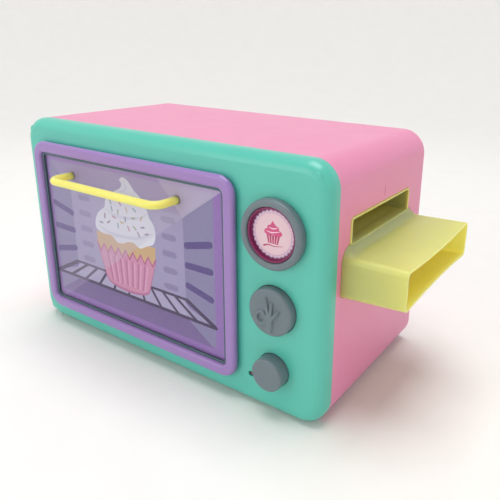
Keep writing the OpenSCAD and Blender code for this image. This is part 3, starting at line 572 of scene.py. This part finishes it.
def oven_room():
    """Walls, floor and ceiling of the drawn oven, with the slots that hold the rack."""
    (x0, x1, z0, z1), (u0, u1, w1) = ROOM, FAR
    floor_end = 51
    layers = [
        ([(x0, z0), (x1, z0), (x1, z1), (x0, z1)], WALL, 1),
        ([(x0, z1), (u0, w1), (u1, w1), (x1, z1)], "a08fba", 1),
        ([(u0, floor_end - 1), (u1, floor_end - 1), (u1, w1), (u0, w1)], BACK_WALL, 1)]
    strips = 8
    for k in range(strips):
        low, high = k / strips, (k + 1) / strips
        tones = [int(int(FLOOR_INK[i:i + 2], 16) + 10 * (1 - low)) for i in (0, 2, 4)]
        edge = [(x0 - 1 + (u0 - x0 + 1) * t, z0 - 1 + (floor_end - z0) * t) for t in (low, high)]
        far = [(x1 - 2 + (u1 + 4 - x1) * t, z0 - 1 + (floor_end - z0) * t) for t in (low, high)]
        layers.append(([edge[0], far[0], far[1], edge[1]], "%02x%02x%02x" % tuple(tones), 1))
    for side in (-1, 1):
        middle = (x0 + x1) / 2 - 1
        for height, fan in ((112, 2.7), (94.2, 0.2), (75.4, -2.6)):
            near, far = middle + side * 87.3, middle + side * 65
            layers.append((capsule(near, height + fan, far, height - fan, 5.2), SLOT_INK, 1))
        for row in range(5):
            slot_x = middle + side * 47.5
            slot_z = 72 + 13.3 * row
            layers.append((capsule(slot_x - 5, slot_z, slot_x + 5, slot_z, 4.8), SLOT_INK, 0.36))
    return layers


def wire_rack():
    """Rack in perspective: two long bars, two sides and the slats between."""
    (fx0, fx1, fz), (bx0, bx1, bz) = RACK_FRONT, RACK_BACK
    layers = [([(fx0, fz), (fx1, fz), (bx1, bz), (bx0, bz)], PALE_INK, 0.35),
              ([(fx0 + 2, fz + 1), (bx0 + 1, bz), (bx0 + 4, bz), (bx0 - 3, fz + 9)], "6f4fa0", 0.7),
              ([(fx1 - 2, fz + 1), (bx1 - 1, bz), (bx1 - 4, bz), (bx1 + 3, fz + 9)], "6f4fa0", 0.7)]
    slats = 10
    for k in range(slats + 1):
        t = k / slats
        low, high = fx0 + (fx1 - fx0) * t, bx0 + (bx1 - bx0) * t
        layers.append((bar(low, fz, high, bz, 3.4 if k in (0, slats) else 2.4), RACK_INK, 1))
    layers.append((capsule(fx0, fz, fx1, fz, 2.7), RACK_INK, 1))
    layers.append((capsule(bx0, bz, bx1, bz, 2.2), RACK_INK, 1))
    return layers


CAKE_X = -30.5


def pleated_case():
    """Paper case of the cupcake: a zigzag rim, tapering sides and folds."""
    points = 8
    half = 34
    rim = [(CAKE_X - half + half * k / points, 91.5 if k % 2 == 0 else 85) for k in range(2 * points + 1)]
    side = [(half, 89), (26.5, 66), (24.5, 60.5), (20, 57), (10, 55), (0, 54.4)]
    right = [(CAKE_X + x, z) for x, z in side]
    foot = right + [(CAKE_X - x, z) for x, z in side[-2::-1]]
    layers = [(rim + foot, "da93b3", 1)]
    layers.append(([(x, z + 0.2) for x, z in rim] + [(x, z - 2.4) for x, z in rim[::-1]], "b8477f", 0.75))
    for k in range(7):
        t = (k + 0.5) / 7 * 2 - 1
        layers.append((bar(CAKE_X + t * 25, 82, CAKE_X + t * 20.5, 60, 1.9), "b0578a", 0.6))
        layers.append((bar(CAKE_X + t * 25 + 2.6, 82, CAKE_X + t * 20.5 + 2.1, 60, 1.6), "f0b7d2", 0.6))
    layers.append((ribbon([(x, z + 0.8) for x, z in foot], [0.6, 1.8, 2.4, 1.8, 0.6]), "b85c90", 0.7))
    return layers


def iced_top():
    """Sponge and swirled icing with sprinkles."""
    sponge = [(-64, 100), (3.5, 100), (3, 91.4)] + [
        (CAKE_X + 34 - 68 * k / 16, 91.5 if k % 2 == 0 else 85) for k in range(1, 16)] + [(-64, 91.4)]
    icing = curved([
        (-63, 101.5), (-64.5, 107), (-61, 115), (-55.5, 119.5), (-51.5, 122.5), (-50, 128),
        (-45.5, 133.5), (-38, 137.5), (-31.5, 141), (-29.5, 144.5), (-31.5, 147.6), (-27.5, 150),
        (-22, 147.8), (-16.5, 142), (-11.5, 138.6), (-6.5, 134), (-3, 128), (-1, 122.5),
        (3, 118), (4.5, 110), (1.5, 102.5), (-6, 99), (-13.5, 95.8), (-20, 98.6),
        (-26.5, 98.2), (-33, 95.6), (-39.5, 95.2), (-46, 99.6), (-55, 99.4)], 5)
    layers = [(sponge, "d8b27c", 1), (icing, "e9ebf1", 1)]
    folds = (([(-62, 106), (-48, 101.5), (-30, 101.5), (-12, 104.5), (2, 111)], [0.6, 3.2, 2.6, 0.8]),
             ([(-52, 121.5), (-40, 117.5), (-24, 118), (-10, 121.5), (-2, 126.5)], [0.5, 2.4, 2.2, 0.5]),
             ([(-46, 132.5), (-34, 130), (-20, 131.5), (-9, 135.5)], [0.5, 2.0, 1.8, 0.5]),
             ([(-27, 147.5), (-24.5, 143), (-27, 139.5), (-33, 138)], [0.4, 1.6, 1.4, 0.4]))
    for line, widths in folds:
        layers.append((ribbon(line, widths), "c3c8d8", 0.55))
    sprinkle_inks = ("7a4a72", "4f8f9c", "b0506e", "8a9a4a", "6a5a8a", "c9a24e")
    sprinkles = (
        (-52, 115), (-43, 122.5), (-41, 115.8), (-36, 121), (-28, 116.5), (-26, 124.5), (-48, 110.5),
        (-37, 109.6), (-25, 109.6), (-18, 111.5), (-9, 113.6), (-10, 120.4), (-5, 109), (-17, 126),
        (-33, 128.5), (-19, 119), (-57, 108.5), (-32, 113), (-14, 107), (-44, 128), (-22, 131.5))
    dice = random.Random(11)
    for k, (x, z) in enumerate(sprinkles):
        tilt = dice.uniform(0, math.pi)
        dx, dz = 1.7 * math.cos(tilt), 1.7 * math.sin(tilt)
        ink = sprinkle_inks[k % len(sprinkle_inks)]
        layers.append((capsule(x - dx, z - dz, x + dx, z + dz, 1.5, 4), ink, 0.85))
    return layers


def painted_window_glare():
    """Painted reflection: the window's pale glare laid over the picture as ink, above a straight slant,
    fading towards its low end.
    """
    layers = []
    top, end, slope = 156.4, 69, 0.69
    stops = (-122.4, -93, -80, -68, -58, -48, end)
    for k, (a, b) in enumerate(zip(stops, stops[1:])):
        low_a, low_b = (top - 1.9 - (end - x) * slope for x in (a, b))
        layers.append(([(a, low_a), (b, low_b), (b, top), (a, top)], "cfc6da", 0.15 + 0.03 * k))
    # the brightest corner of the painted glare, beside the frame's right bar
    brightest = [(end, top), (8, top), (33, top - 1.9 - (end - 33) * slope), (end, top - 1.9)]
    layers.append((brightest, "ded6e4", 0.30))
    return layers


CARD_GAP = 0.04 * MM


def make_card():
    """Printed card between the door's back and its clear window."""
    low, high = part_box("picture_card")
    x0, x1, z0, z1 = low.x / MM, high.x / MM, low.z / MM, high.z / MM
    outline = plate_outline(x0, x1, z0, z1, 3.1)
    legs, top = handle_places()
    holes = [disc(x / MM, top / MM, 3.5, 32) for x in legs]
    layers = [(outline, LILAC_BORDER, 1)] + oven_room() + wire_rack()
    # the last layers are a painted reflection of the window's glare, printed over the picture
    layers += pleated_case() + iced_top() + painted_window_glare()
    depth = high.y - low.y - CARD_GAP
    card = printed_sheet("picture_card_print", outline, holes, layers, low.y + CARD_GAP, depth, "efeae4")
    dress(card, "picture_card")


def handle_places():
    """Where the handle's two legs stand: their x, and their height."""
    low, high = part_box("door_handle")
    radius = (high.z - low.z) / 2
    return (low.x + radius, high.x - radius), (low.z + high.z) / 2


def make_pane():
    """Clear window, with polished edges and round holes for the handle's legs."""
    refined("door_window", 0.2)


# ---- Badge inside the dial: a scalloped label over a magenta cup ----


def centre_of(node):
    """Middle of a CAD node's box."""
    low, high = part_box(node)
    return (low + high) / 2


def scalloped(x, z, radius, lobe, lobes, steps=10):
    """Round outline with half-round lobes all along its edge."""
    out = []
    for k in range(lobes):
        hub = 2 * math.pi * k / lobes
        hub_x, hub_z = x + radius * math.cos(hub), z + radius * math.sin(hub)
        notch = math.pi / lobes
        valley = radius * math.cos(notch) + math.sqrt(max(lobe ** 2 - (radius * math.sin(notch)) ** 2, 0))
        reach_x, reach_z = valley * math.cos(notch) - radius, valley * math.sin(notch)
        half = math.atan2(reach_z, reach_x)
        for j in range(steps):
            turn = hub - half + 2 * half * j / (steps - 1)
            out.append((hub_x + lobe * math.cos(turn), hub_z + lobe * math.sin(turn)))
    return out


def make_label():
    """Printed label: a pale scalloped round with a stitched ring, a little cupcake and a flourish."""
    low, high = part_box("badge_label")
    x, z = centre_of("badge_label").x / MM, centre_of("badge_label").z / MM
    outline = scalloped(x, z, 14.7, 1.6, 30)
    edge = (high.x - low.x) / 2 / MM
    share = edge / max(math.hypot(a - x, b - z) for a, b in outline)
    outline = [(x + (a - x) * share, z + (b - z) * share) for a, b in outline]
    inner = [(x + (a - x) * 0.965, z + (b - z) * 0.965) for a, b in outline]
    # the scallops' outer rim is printed in darker violet: painted shade along the label's raised edge
    layers = [(outline, "a685b5", 1), (inner, "dcc0d2", 1), (disc(x, z, 13.5, 60), "e6c6cf", 1)]
    stitches, stitch_r, half_stitch = 36, 13.95, 0.055
    for k in range(stitches):
        turn = 2 * math.pi * k / stitches
        ends = [part for t in (turn - half_stitch, turn + half_stitch)
                for part in (x + stitch_r * math.cos(t), z + stitch_r * math.sin(t))]
        layers.append((capsule(*ends, 0.35, 4), "c980ae", 0.9))
    magenta, frosting, pale = "b3225f", "d2447f", "f5d5e2"
    case = [(x - 5.2, z - 0.6), (x + 5.2, z - 0.6), (x + 3.8, z - 6.4), (x - 3.8, z - 6.4)]
    layers.append((case, magenta, 1))
    for k in range(4):
        t = (k + 0.5) / 4 * 2 - 1
        layers.append((bar(x + t * 4.4, z - 1.2, x + t * 3.2, z - 6.2, 0.55), "f0b9cf", 1))
    swirl = [(-6.4, -0.2), (-6.6, 2.0), (-4.6, 3.4), (-4.2, 5.2), (-2.0, 6.2),
             (-0.6, 8.6), (0.9, 7.2), (2.4, 5.8), (4.2, 5.0), (4.6, 3.3),
             (6.6, 2.0), (6.4, -0.2), (3.2, -1.0), (0, -0.3), (-3.2, -1.0)]
    layers.append((curved([(x + a, z + b) for a, b in swirl], 5), frosting, 1))
    strokes = (([(-5.2, 1.4), (-1, 0.9), (4.8, 2.4)], [0.3, 0.8, 0.3], pale),
               ([(-3.2, 4.1), (0, 3.6), (3.2, 4.6)], [0.3, 0.8, 0.3], pale),
               ([(-7.5, -9.0), (-4, -7.6), (1, -7.9), (7.5, -6.8)], [1.3, 0.8, 0.6, 0.3], magenta))
    for line, widths, ink in strokes:
        layers.append((ribbon([(x + a, z + b) for a, b in line], widths), ink, 1))
    label = printed_sheet("label_print", outline, [], layers, low.y, high.y - low.y, "f2e9ee")
    dress(label, "badge_label")


def make_badge_cup():
    """Cup behind the label: a glossy dish whose wall lines the dial's bore, on a hollow stem."""
    low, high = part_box("badge_cup")
    middle = centre_of("badge_cup")
    radius = (high.x - low.x) / 2
    wall, stem, hole = 0.8 * MM, 7 * MM, 1.05 * MM
    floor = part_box("badge_label")[1].y - low.y
    under = floor + 3.6 * MM
    end = high.y - low.y
    profile = rounded([
        (0, floor), (radius - wall, floor, 0.3 * MM), (radius - wall, 0, 0.15 * MM), (radius, 0, 0.3 * MM),
        (radius, under, 0.2 * MM), (stem, under), (stem, end, 0.3 * MM), (hole, end),
        (hole, end - 7 * MM), (0, end - 7 * MM)])
    dress(revolve("badge_cup_dish", profile, (middle.x, low.y, middle.z), "Y", 96), "badge_cup")


# ---- Dial and push buttons ----

ROUND_STEPS = 128


def make_dial():
    """Dial ring: a soft outer shoulder, a flat crown and a small lip round the badge."""
    low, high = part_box("dial_ring")
    middle = centre_of("dial_ring")
    outer = (high.x - low.x) / 2
    cup_low, cup_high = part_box("badge_cup")
    bore = (cup_high.x - cup_low.x) / 2 + 0.4 * MM
    skirt, base = bore + 1.8 * MM, 6.1 * MM
    back = high.y - low.y
    profile = rounded([
        (bore, 0, 1.5 * MM), (outer, 0, 2.4 * MM), (outer, base, 0.3 * MM), (skirt, base),
        (skirt, back, 0.2 * MM), (bore, back, 0.2 * MM)], 10)
    ring = revolve("dial_ring_turned", profile, (middle.x, low.y, middle.z), "Y", ROUND_STEPS, closed=True)
    dress(ring, "dial_ring")


def ridge(x, z, ax, az, bx, bz, ra, rb):
    """Distance from a point to a tapering stroke; below 0 is inside."""
    along = Vector((bx - ax, bz - az))
    here = Vector((x - ax, z - az))
    t = min(max(here.dot(along) / along.length_squared, 0), 1)
    return (here - along * t).length - (ra + (rb - ra) * t)


# The raised sign on the big button: a hand whose thumb and first finger make a ring.
# Strokes are (start x, z, end x, z, start radius, end radius) from the button's middle.
HAND = (
    (-0.4, -1.0, -2.8, 10.2, 1.4, 1.1), (1.4, -1.0, 2.3, 7.4, 1.4, 1.1), (2.6, -3.2, 7.2, 3.0, 1.4, 1.1),
    (0.6, -4.0, 0.8, -9.0, 2.6, 2.4), (0.8, -9.0, 0.0, -12.8, 2.4, 2.5),
    (-3.0, -7.0, -0.6, -7.8, 1.1, 1.4), (-3.2, -1.8, -0.6, -3.4, 1.0, 1.4))
RING_AT, RING_R, RING_LINE = (-6.0, -4.1), 3.6, 1.0
SIGN_RISE = 1.6


def sign_height(x, z):
    """Height of the raised sign at a place on the button, in millimetres."""
    near = min(ridge(x, z, *stroke) for stroke in HAND)
    ring = abs(math.hypot(x - RING_AT[0], (z - RING_AT[1]) * 0.88) - RING_R) - RING_LINE
    near = min(near, ring)
    soft = 0.45
    share = min(max((soft - near) / (2 * soft), 0), 1)
    return SIGN_RISE * share * share * (3 - 2 * share)


def button(node, edge, dish, sign):
    """Push button turned from its section, with the sign raised on its face."""
    low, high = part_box(node)
    middle = centre_of(node)
    flange_r = (high.x - low.x) / 2
    radius = flange_r - 1.8 * MM
    depth = high.y - low.y
    skirt_end = depth - 0.6 * MM
    stop = skirt_end - 6.2 * MM
    wall_t, plunger = 1.6 * MM, 3 * MM
    face_rings = 70 if sign else 24
    face_r = radius - edge * 1.15
    face = [(face_r * k / face_rings, dish * (1 - (k / face_rings) ** 2)) for k in range(face_rings)]
    shell = rounded([
        (face_r, 0), (radius, 0, edge), (radius, stop), (flange_r, stop, 0.2 * MM),
        (flange_r, stop + wall_t, 0.2 * MM), (radius, stop + wall_t), (radius, skirt_end, 0.2 * MM),
        (radius - wall_t, skirt_end, 0.2 * MM), (radius - wall_t, wall_t), (plunger, wall_t),
        (plunger, depth, 0.3 * MM), (0, depth)], 8)
    steps = 220 if sign else ROUND_STEPS
    made = revolve(node + "_cap", face + shell, (middle.x, low.y, middle.z), "Y", steps)
    if sign:
        for vert in made.data.vertices:
            x, z = vert.co.x - middle.x, vert.co.z - middle.z
            inside = face_r - math.hypot(x, z)
            if vert.co.y < low.y + edge / 2 and inside > 0:
                vert.co.y -= sign_height(x / MM, z / MM) * MM * min(1, inside / MM)
    return dress(made, node)


def make_buttons():
    """The two push buttons: the big one carries the raised sign, the small one a shallow dish."""
    button("ok_button", 2.0 * MM, 0.0, True)
    button("power_button", 1.3 * MM, 0.35 * MM, False)


# ---- Door handle ----


def make_handle():
    """Round rod handle: two legs, two swept bends and a straight bar."""
    low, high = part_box("door_handle")
    legs, top = handle_places()
    radius = (high.z - low.z) / 2
    bend = 8 * MM
    bar_y = low.y + radius
    steps = 14
    path = [(legs[0], high.y, top), (legs[0], (high.y + bar_y + bend) / 2, top)]
    for k in range(steps + 1):
        turn = math.pi / 2 * k / steps
        path.append((legs[0] + bend * (1 - math.cos(turn)), bar_y + bend * (1 - math.sin(turn)), top))
    for k in range(steps + 1):
        turn = math.pi / 2 * k / steps
        path.append((legs[1] - bend * (1 - math.sin(turn)), bar_y + bend * (1 - math.cos(turn)), top))
    path += [(legs[1], (high.y + bar_y + bend) / 2, top), (legs[1], high.y, top)]
    dress(tube("door_handle_rod", path, radius, 40), "door_handle")


# ---- Lamps and loudspeaker ----


def half_dome(radius, steps):
    """Section of a half ball from its pole out to its rim."""
    turns = [math.pi / 2 * k / steps for k in range(steps + 1)]
    return [(radius * math.sin(t), radius * (1 - math.cos(t))) for t in turns]


def make_lamps():
    """Indicator lamp beside the small button and the oven's lamp under its frosted cover."""
    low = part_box("indicator_led")[0]
    middle = centre_of("indicator_led")
    bulb_r, foot_r, foot_at, end = 1.5 * MM, 1.75 * MM, 5.9 * MM, 6.9 * MM
    body = half_dome(bulb_r, 8) + [(bulb_r, foot_at), (foot_r, foot_at), (foot_r, end), (0, end)]
    bulb = revolve("indicator_led_bulb", body, (middle.x, low.y, middle.z), "Y", 32)
    dress(bulb, "indicator_led")
    low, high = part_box("cavity_lamp")
    middle = centre_of("cavity_lamp")
    radius = (high.x - low.x) / 2
    depth = high.y - low.y
    body = half_dome(radius, 12) + [(radius, depth), (0, depth)]
    cover = revolve("cavity_lamp_cover", body, (middle.x, low.y, middle.z), "Y", 64)
    dress(cover, "cavity_lamp")


def make_speaker():
    """Loudspeaker behind the back cover: basket rim, rolled surround, cone and dust cap."""
    low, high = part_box("speaker")
    middle = centre_of("speaker")
    radius = (high.x - low.x) / 2
    depth = high.y - low.y
    roll = [(radius - 5 * MM + 2.5 * MM * k / 8, (1.2 + 0.9 * math.sin(math.pi * k / 8)) * MM)
            for k in range(9)]
    front = [(0, 4.2 * MM), (2 * MM, 4.4 * MM), (4.5 * MM, 5.6 * MM), (5 * MM, 6.6 * MM), (11 * MM, 3.4 * MM)]
    rim = [(radius - 2.2 * MM, 0.1 * MM), (radius - 0.3 * MM, 0), (radius, 0.3 * MM), (radius, 2 * MM)]
    magnet = 9.2 * MM
    rear = [(radius - 3 * MM, 2.2 * MM), (magnet, 7.6 * MM), (magnet, depth - 0.4 * MM),
            (8.8 * MM, depth), (0, depth)]
    section = [(r, -h) for r, h in front + roll + rim + rear]
    dress(revolve("speaker_driver", section, (middle.x, high.y, middle.z), "Y", 72), "speaker")


# ---- Screws and springs: one pattern each, laid out by Geometry Nodes ----


def islands(node):
    """Box of each separate solid of a CAD node, as (low, high) corners."""
    bm = bmesh.new()
    bm.from_mesh(NODES[node].data)
    bmesh.ops.remove_doubles(bm, verts=bm.verts, dist=2e-6)
    left = set(bm.verts)
    boxes = []
    while left:
        group, edge = set(), [left.pop()]
        while edge:
            vert = edge.pop()
            group.add(vert)
            for link in vert.link_edges:
                other = link.other_vert(vert)
                if other in left:
                    left.discard(other)
                    edge.append(other)
        spots = [v.co for v in group]
        boxes.append((Vector([min(p[i] for p in spots) for i in range(3)]),
                      Vector([max(p[i] for p in spots) for i in range(3)])))
    bm.free()
    return sorted(boxes, key=lambda b: tuple(round(c, 5) for c in b[0]))


def scatter_tree():
    """Geometry Nodes: a copy of one pattern on each point, each turned by its own amount about an
    axis, made real and given its finish."""
    tree = bpy.data.node_groups.new("copies_on_points", "GeometryNodeTree")
    face = tree.interface
    face.new_socket("Geometry", in_out="INPUT", socket_type="NodeSocketGeometry")
    for name, kind in (("Pattern", "NodeSocketObject"), ("Finish", "NodeSocketMaterial"),
                       ("Axis", "NodeSocketVector"), ("Seed", "NodeSocketInt")):
        face.new_socket(name, in_out="INPUT", socket_type=kind)
    face.new_socket("Geometry", in_out="OUTPUT", socket_type="NodeSocketGeometry")
    given = add(tree, "NodeGroupInput").outputs
    points = add(tree, "GeometryNodeMeshToPoints", {"Mesh": given["Geometry"]}).outputs[0]
    pattern = add(tree, "GeometryNodeObjectInfo", {"Object": given["Pattern"]}).outputs["Geometry"]
    turn = add(tree, "FunctionNodeRandomValue", {2: 0.0, 3: math.pi, "Seed": given["Seed"]},
               data_type="FLOAT").outputs[1]
    twist = add(tree, "FunctionNodeAxisAngleToRotation", {"Axis": given["Axis"], "Angle": turn}).outputs[0]
    copies = add(tree, "GeometryNodeInstanceOnPoints", {
        "Points": points, "Instance": pattern, "Rotation": twist}).outputs[0]
    real = add(tree, "GeometryNodeRealizeInstances", {"Geometry": copies}).outputs[0]
    dressed = add(tree, "GeometryNodeSetMaterial", {"Geometry": real, "Material": given["Finish"]}).outputs[0]
    add(tree, "NodeGroupOutput", {"Geometry": dressed})
    return tree


def run_tree(name, mesh, tree, values):
    """Object whose mesh is what a Geometry Nodes tree makes of a starting mesh."""
    made = bpy.data.objects.new(name, mesh)
    bpy.context.scene.collection.objects.link(made)
    modifier = made.modifiers.new("tree", "NODES")
    modifier.node_group = tree
    for item in tree.interface.items_tree:
        if item.in_out == "INPUT" and item.name in values:
            modifier[item.identifier] = values[item.name]
    return settle(made)


def screw_pattern(head_r, head_h, shank_r, length):
    """Pan-head screw along +Y with its head at -Y: a domed head with a cross recess and a ridged shank."""
    section = rounded([(0, 0), (head_r, 0.15 * head_h, 0.35 * head_h), (head_r, head_h, 0.1 * head_h),
                       (shank_r, head_h)], 4)
    thread = max(int((length - head_h) / (0.5 * MM)), 2)
    for k in range(thread):
        low = head_h + (length - head_h - shank_r) * k / thread
        section += [(shank_r * 0.86, low), (shank_r, low + 0.25 * MM)]
    section += [(shank_r * 0.7, length - 0.5 * shank_r), (0, length)]
    made = revolve("screw_pattern", section, (0, 0, 0), "Y", 28)
    for turn in (0, math.pi / 2):
        bm = bmesh.new()
        size = Matrix.Diagonal((head_r * 1.25, head_h * 1.1, head_r * 0.24, 1))
        bmesh.ops.create_cube(bm, size=1, matrix=Matrix.Rotation(turn, 4, "Y") @ size)
        cutter = link_mesh("recess", bm)
        cut = made.modifiers.new("recess", "BOOLEAN")
        cut.operation = "DIFFERENCE"
        cut.object = cutter
        cut.solver = "EXACT"
        settle(made)
        bpy.data.objects.remove(cutter)
    return made


# Screw nodes: head radius and height, shank radius, and the way the head faces
SCREWS = {
    "bezel_screws": (2.8, 1.8, 1.5, 1), "rear_screws": (2.8, 1.8, 1.5, 1), "board_screws": (1.5, 0.9, 1.0, 1),
    "door_screws": (1.6, 1.2, 1.0, 1), "handle_screws": (2.2, 1.2, 1.1, 1),
    "chute_screws": (2.0, 1.2, 1.0, -1), "battery_door_screw": (1.9, 1.0, 1.0, 0),
}


def make_all_screws():
    """Every screw of a node from one pattern, each left at its own angle."""
    tree = scatter_tree()
    for seed, (node, (head_r, head_h, shank_r, facing)) in enumerate(SCREWS.items()):
        boxes = islands(node)
        low, high = boxes[0]
        axis = {1: 1, -1: 0, 0: 2}[facing]
        pattern = screw_pattern(head_r * MM, head_h * MM, shank_r * MM, high[axis] - low[axis])
        # the pattern's head is at its low end; turn it so that the head lies where the CAD's does
        turn = {1: Matrix.Rotation(math.pi, 4, "X"), -1: Matrix.Rotation(-math.pi / 2, 4, "Z"),
                0: Matrix.Rotation(math.pi / 2, 4, "X")}[facing]
        pattern.data.transform(turn)
        points = bpy.data.meshes.new("points")
        spots = []
        for low, high in boxes:
            spot = (low + high) / 2
            spot[axis] = high[axis] if facing == 1 else low[axis]
            spots.append(spot)
        points.from_pydata(spots, [], [])
        made = run_tree(node + "_set", points, tree, {
            "Pattern": pattern, "Finish": FINISH["zinc_steel"],
            "Axis": [float(i == axis) for i in range(3)], "Seed": seed})
        bpy.data.objects.remove(pattern)
        dress(made, node)


def spring_tree():
    """Geometry Nodes: a round wire carried along a helix."""
    tree = bpy.data.node_groups.new("coil_spring", "GeometryNodeTree")
    face = tree.interface
    face.new_socket("Geometry", in_out="INPUT", socket_type="NodeSocketGeometry")
    for name in ("Radius", "Height", "Turns", "Wire"):
        face.new_socket(name, in_out="INPUT", socket_type="NodeSocketFloat")
    face.new_socket("Finish", in_out="INPUT", socket_type="NodeSocketMaterial")
    face.new_socket("Geometry", in_out="OUTPUT", socket_type="NodeSocketGeometry")
    given = add(tree, "NodeGroupInput").outputs
    helix = add(tree, "GeometryNodeCurveSpiral", {
        "Resolution": 40, "Rotations": given["Turns"], "Start Radius": given["Radius"],
        "End Radius": given["Radius"], "Height": given["Height"]}).outputs[0]
    section = add(tree, "GeometryNodeCurvePrimitiveCircle", {
        "Resolution": 10, "Radius": given["Wire"]}).outputs[0]
    wire = add(tree, "GeometryNodeCurveToMesh", {
        "Curve": helix, "Profile Curve": section, "Fill Caps": True}).outputs[0]
    real = add(tree, "GeometryNodeRealizeInstances", {"Geometry": wire}).outputs[0]
    dressed = add(tree, "GeometryNodeSetMaterial", {"Geometry": real, "Material": given["Finish"]}).outputs[0]
    add(tree, "NodeGroupOutput", {"Geometry": dressed})
    return tree


def make_springs():
    """Return springs of the two buttons."""
    tree = spring_tree()
    wire = 0.35 * MM
    for node, joint in (("ok_spring", "ok_press"), ("power_spring", "power_press")):
        low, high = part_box(node)
        middle = (low + high) / 2
        length = high.y - low.y
        made = run_tree(node + "_coil", bpy.data.meshes.new("nothing"), tree, {
            "Radius": (high.x - low.x) / 2 - wire, "Height": length - 2 * wire, "Turns": 5.0, "Wire": wire,
            "Finish": FINISH["zinc_steel"]})
        upright = Matrix.Rotation(math.pi / 2, 4, "X")
        made.data.transform(Matrix.Translation((middle.x, high.y - wire, middle.z)) @ upright)
        dress(made, node)
        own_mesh(made)


# Mould radius on the edges of each shell and cover, in millimetres. A wider radius than the small
# facets round a hole would fold the flats over it.
EDGES = {
    "front_bezel": 0.1, "housing_shell": 0.1, "rear_cover": 0.1, "battery_door": 0.25,
    "door_frame": 0.1, "door_back": 0.08, "window_seal": 0.15, "port_chute": 0.3,
    "port_duct": 0.2, "oven_liner": 0.2,
}

for blank in list(bpy.data.materials):
    bpy.data.materials.remove(blank)
make_finishes()
make_camera()
make_studio()
for node_name, node_object in NODES.items():
    node_object.data.materials[0] = FINISH[SLOTS[node_name]]
for node_name, radius_mm in EDGES.items():
    refined(node_name, radius_mm)
make_card()
make_pane()
make_label()
make_badge_cup()
make_dial()
make_buttons()
make_handle()
make_lamps()
make_speaker()
make_all_screws()
make_springs()
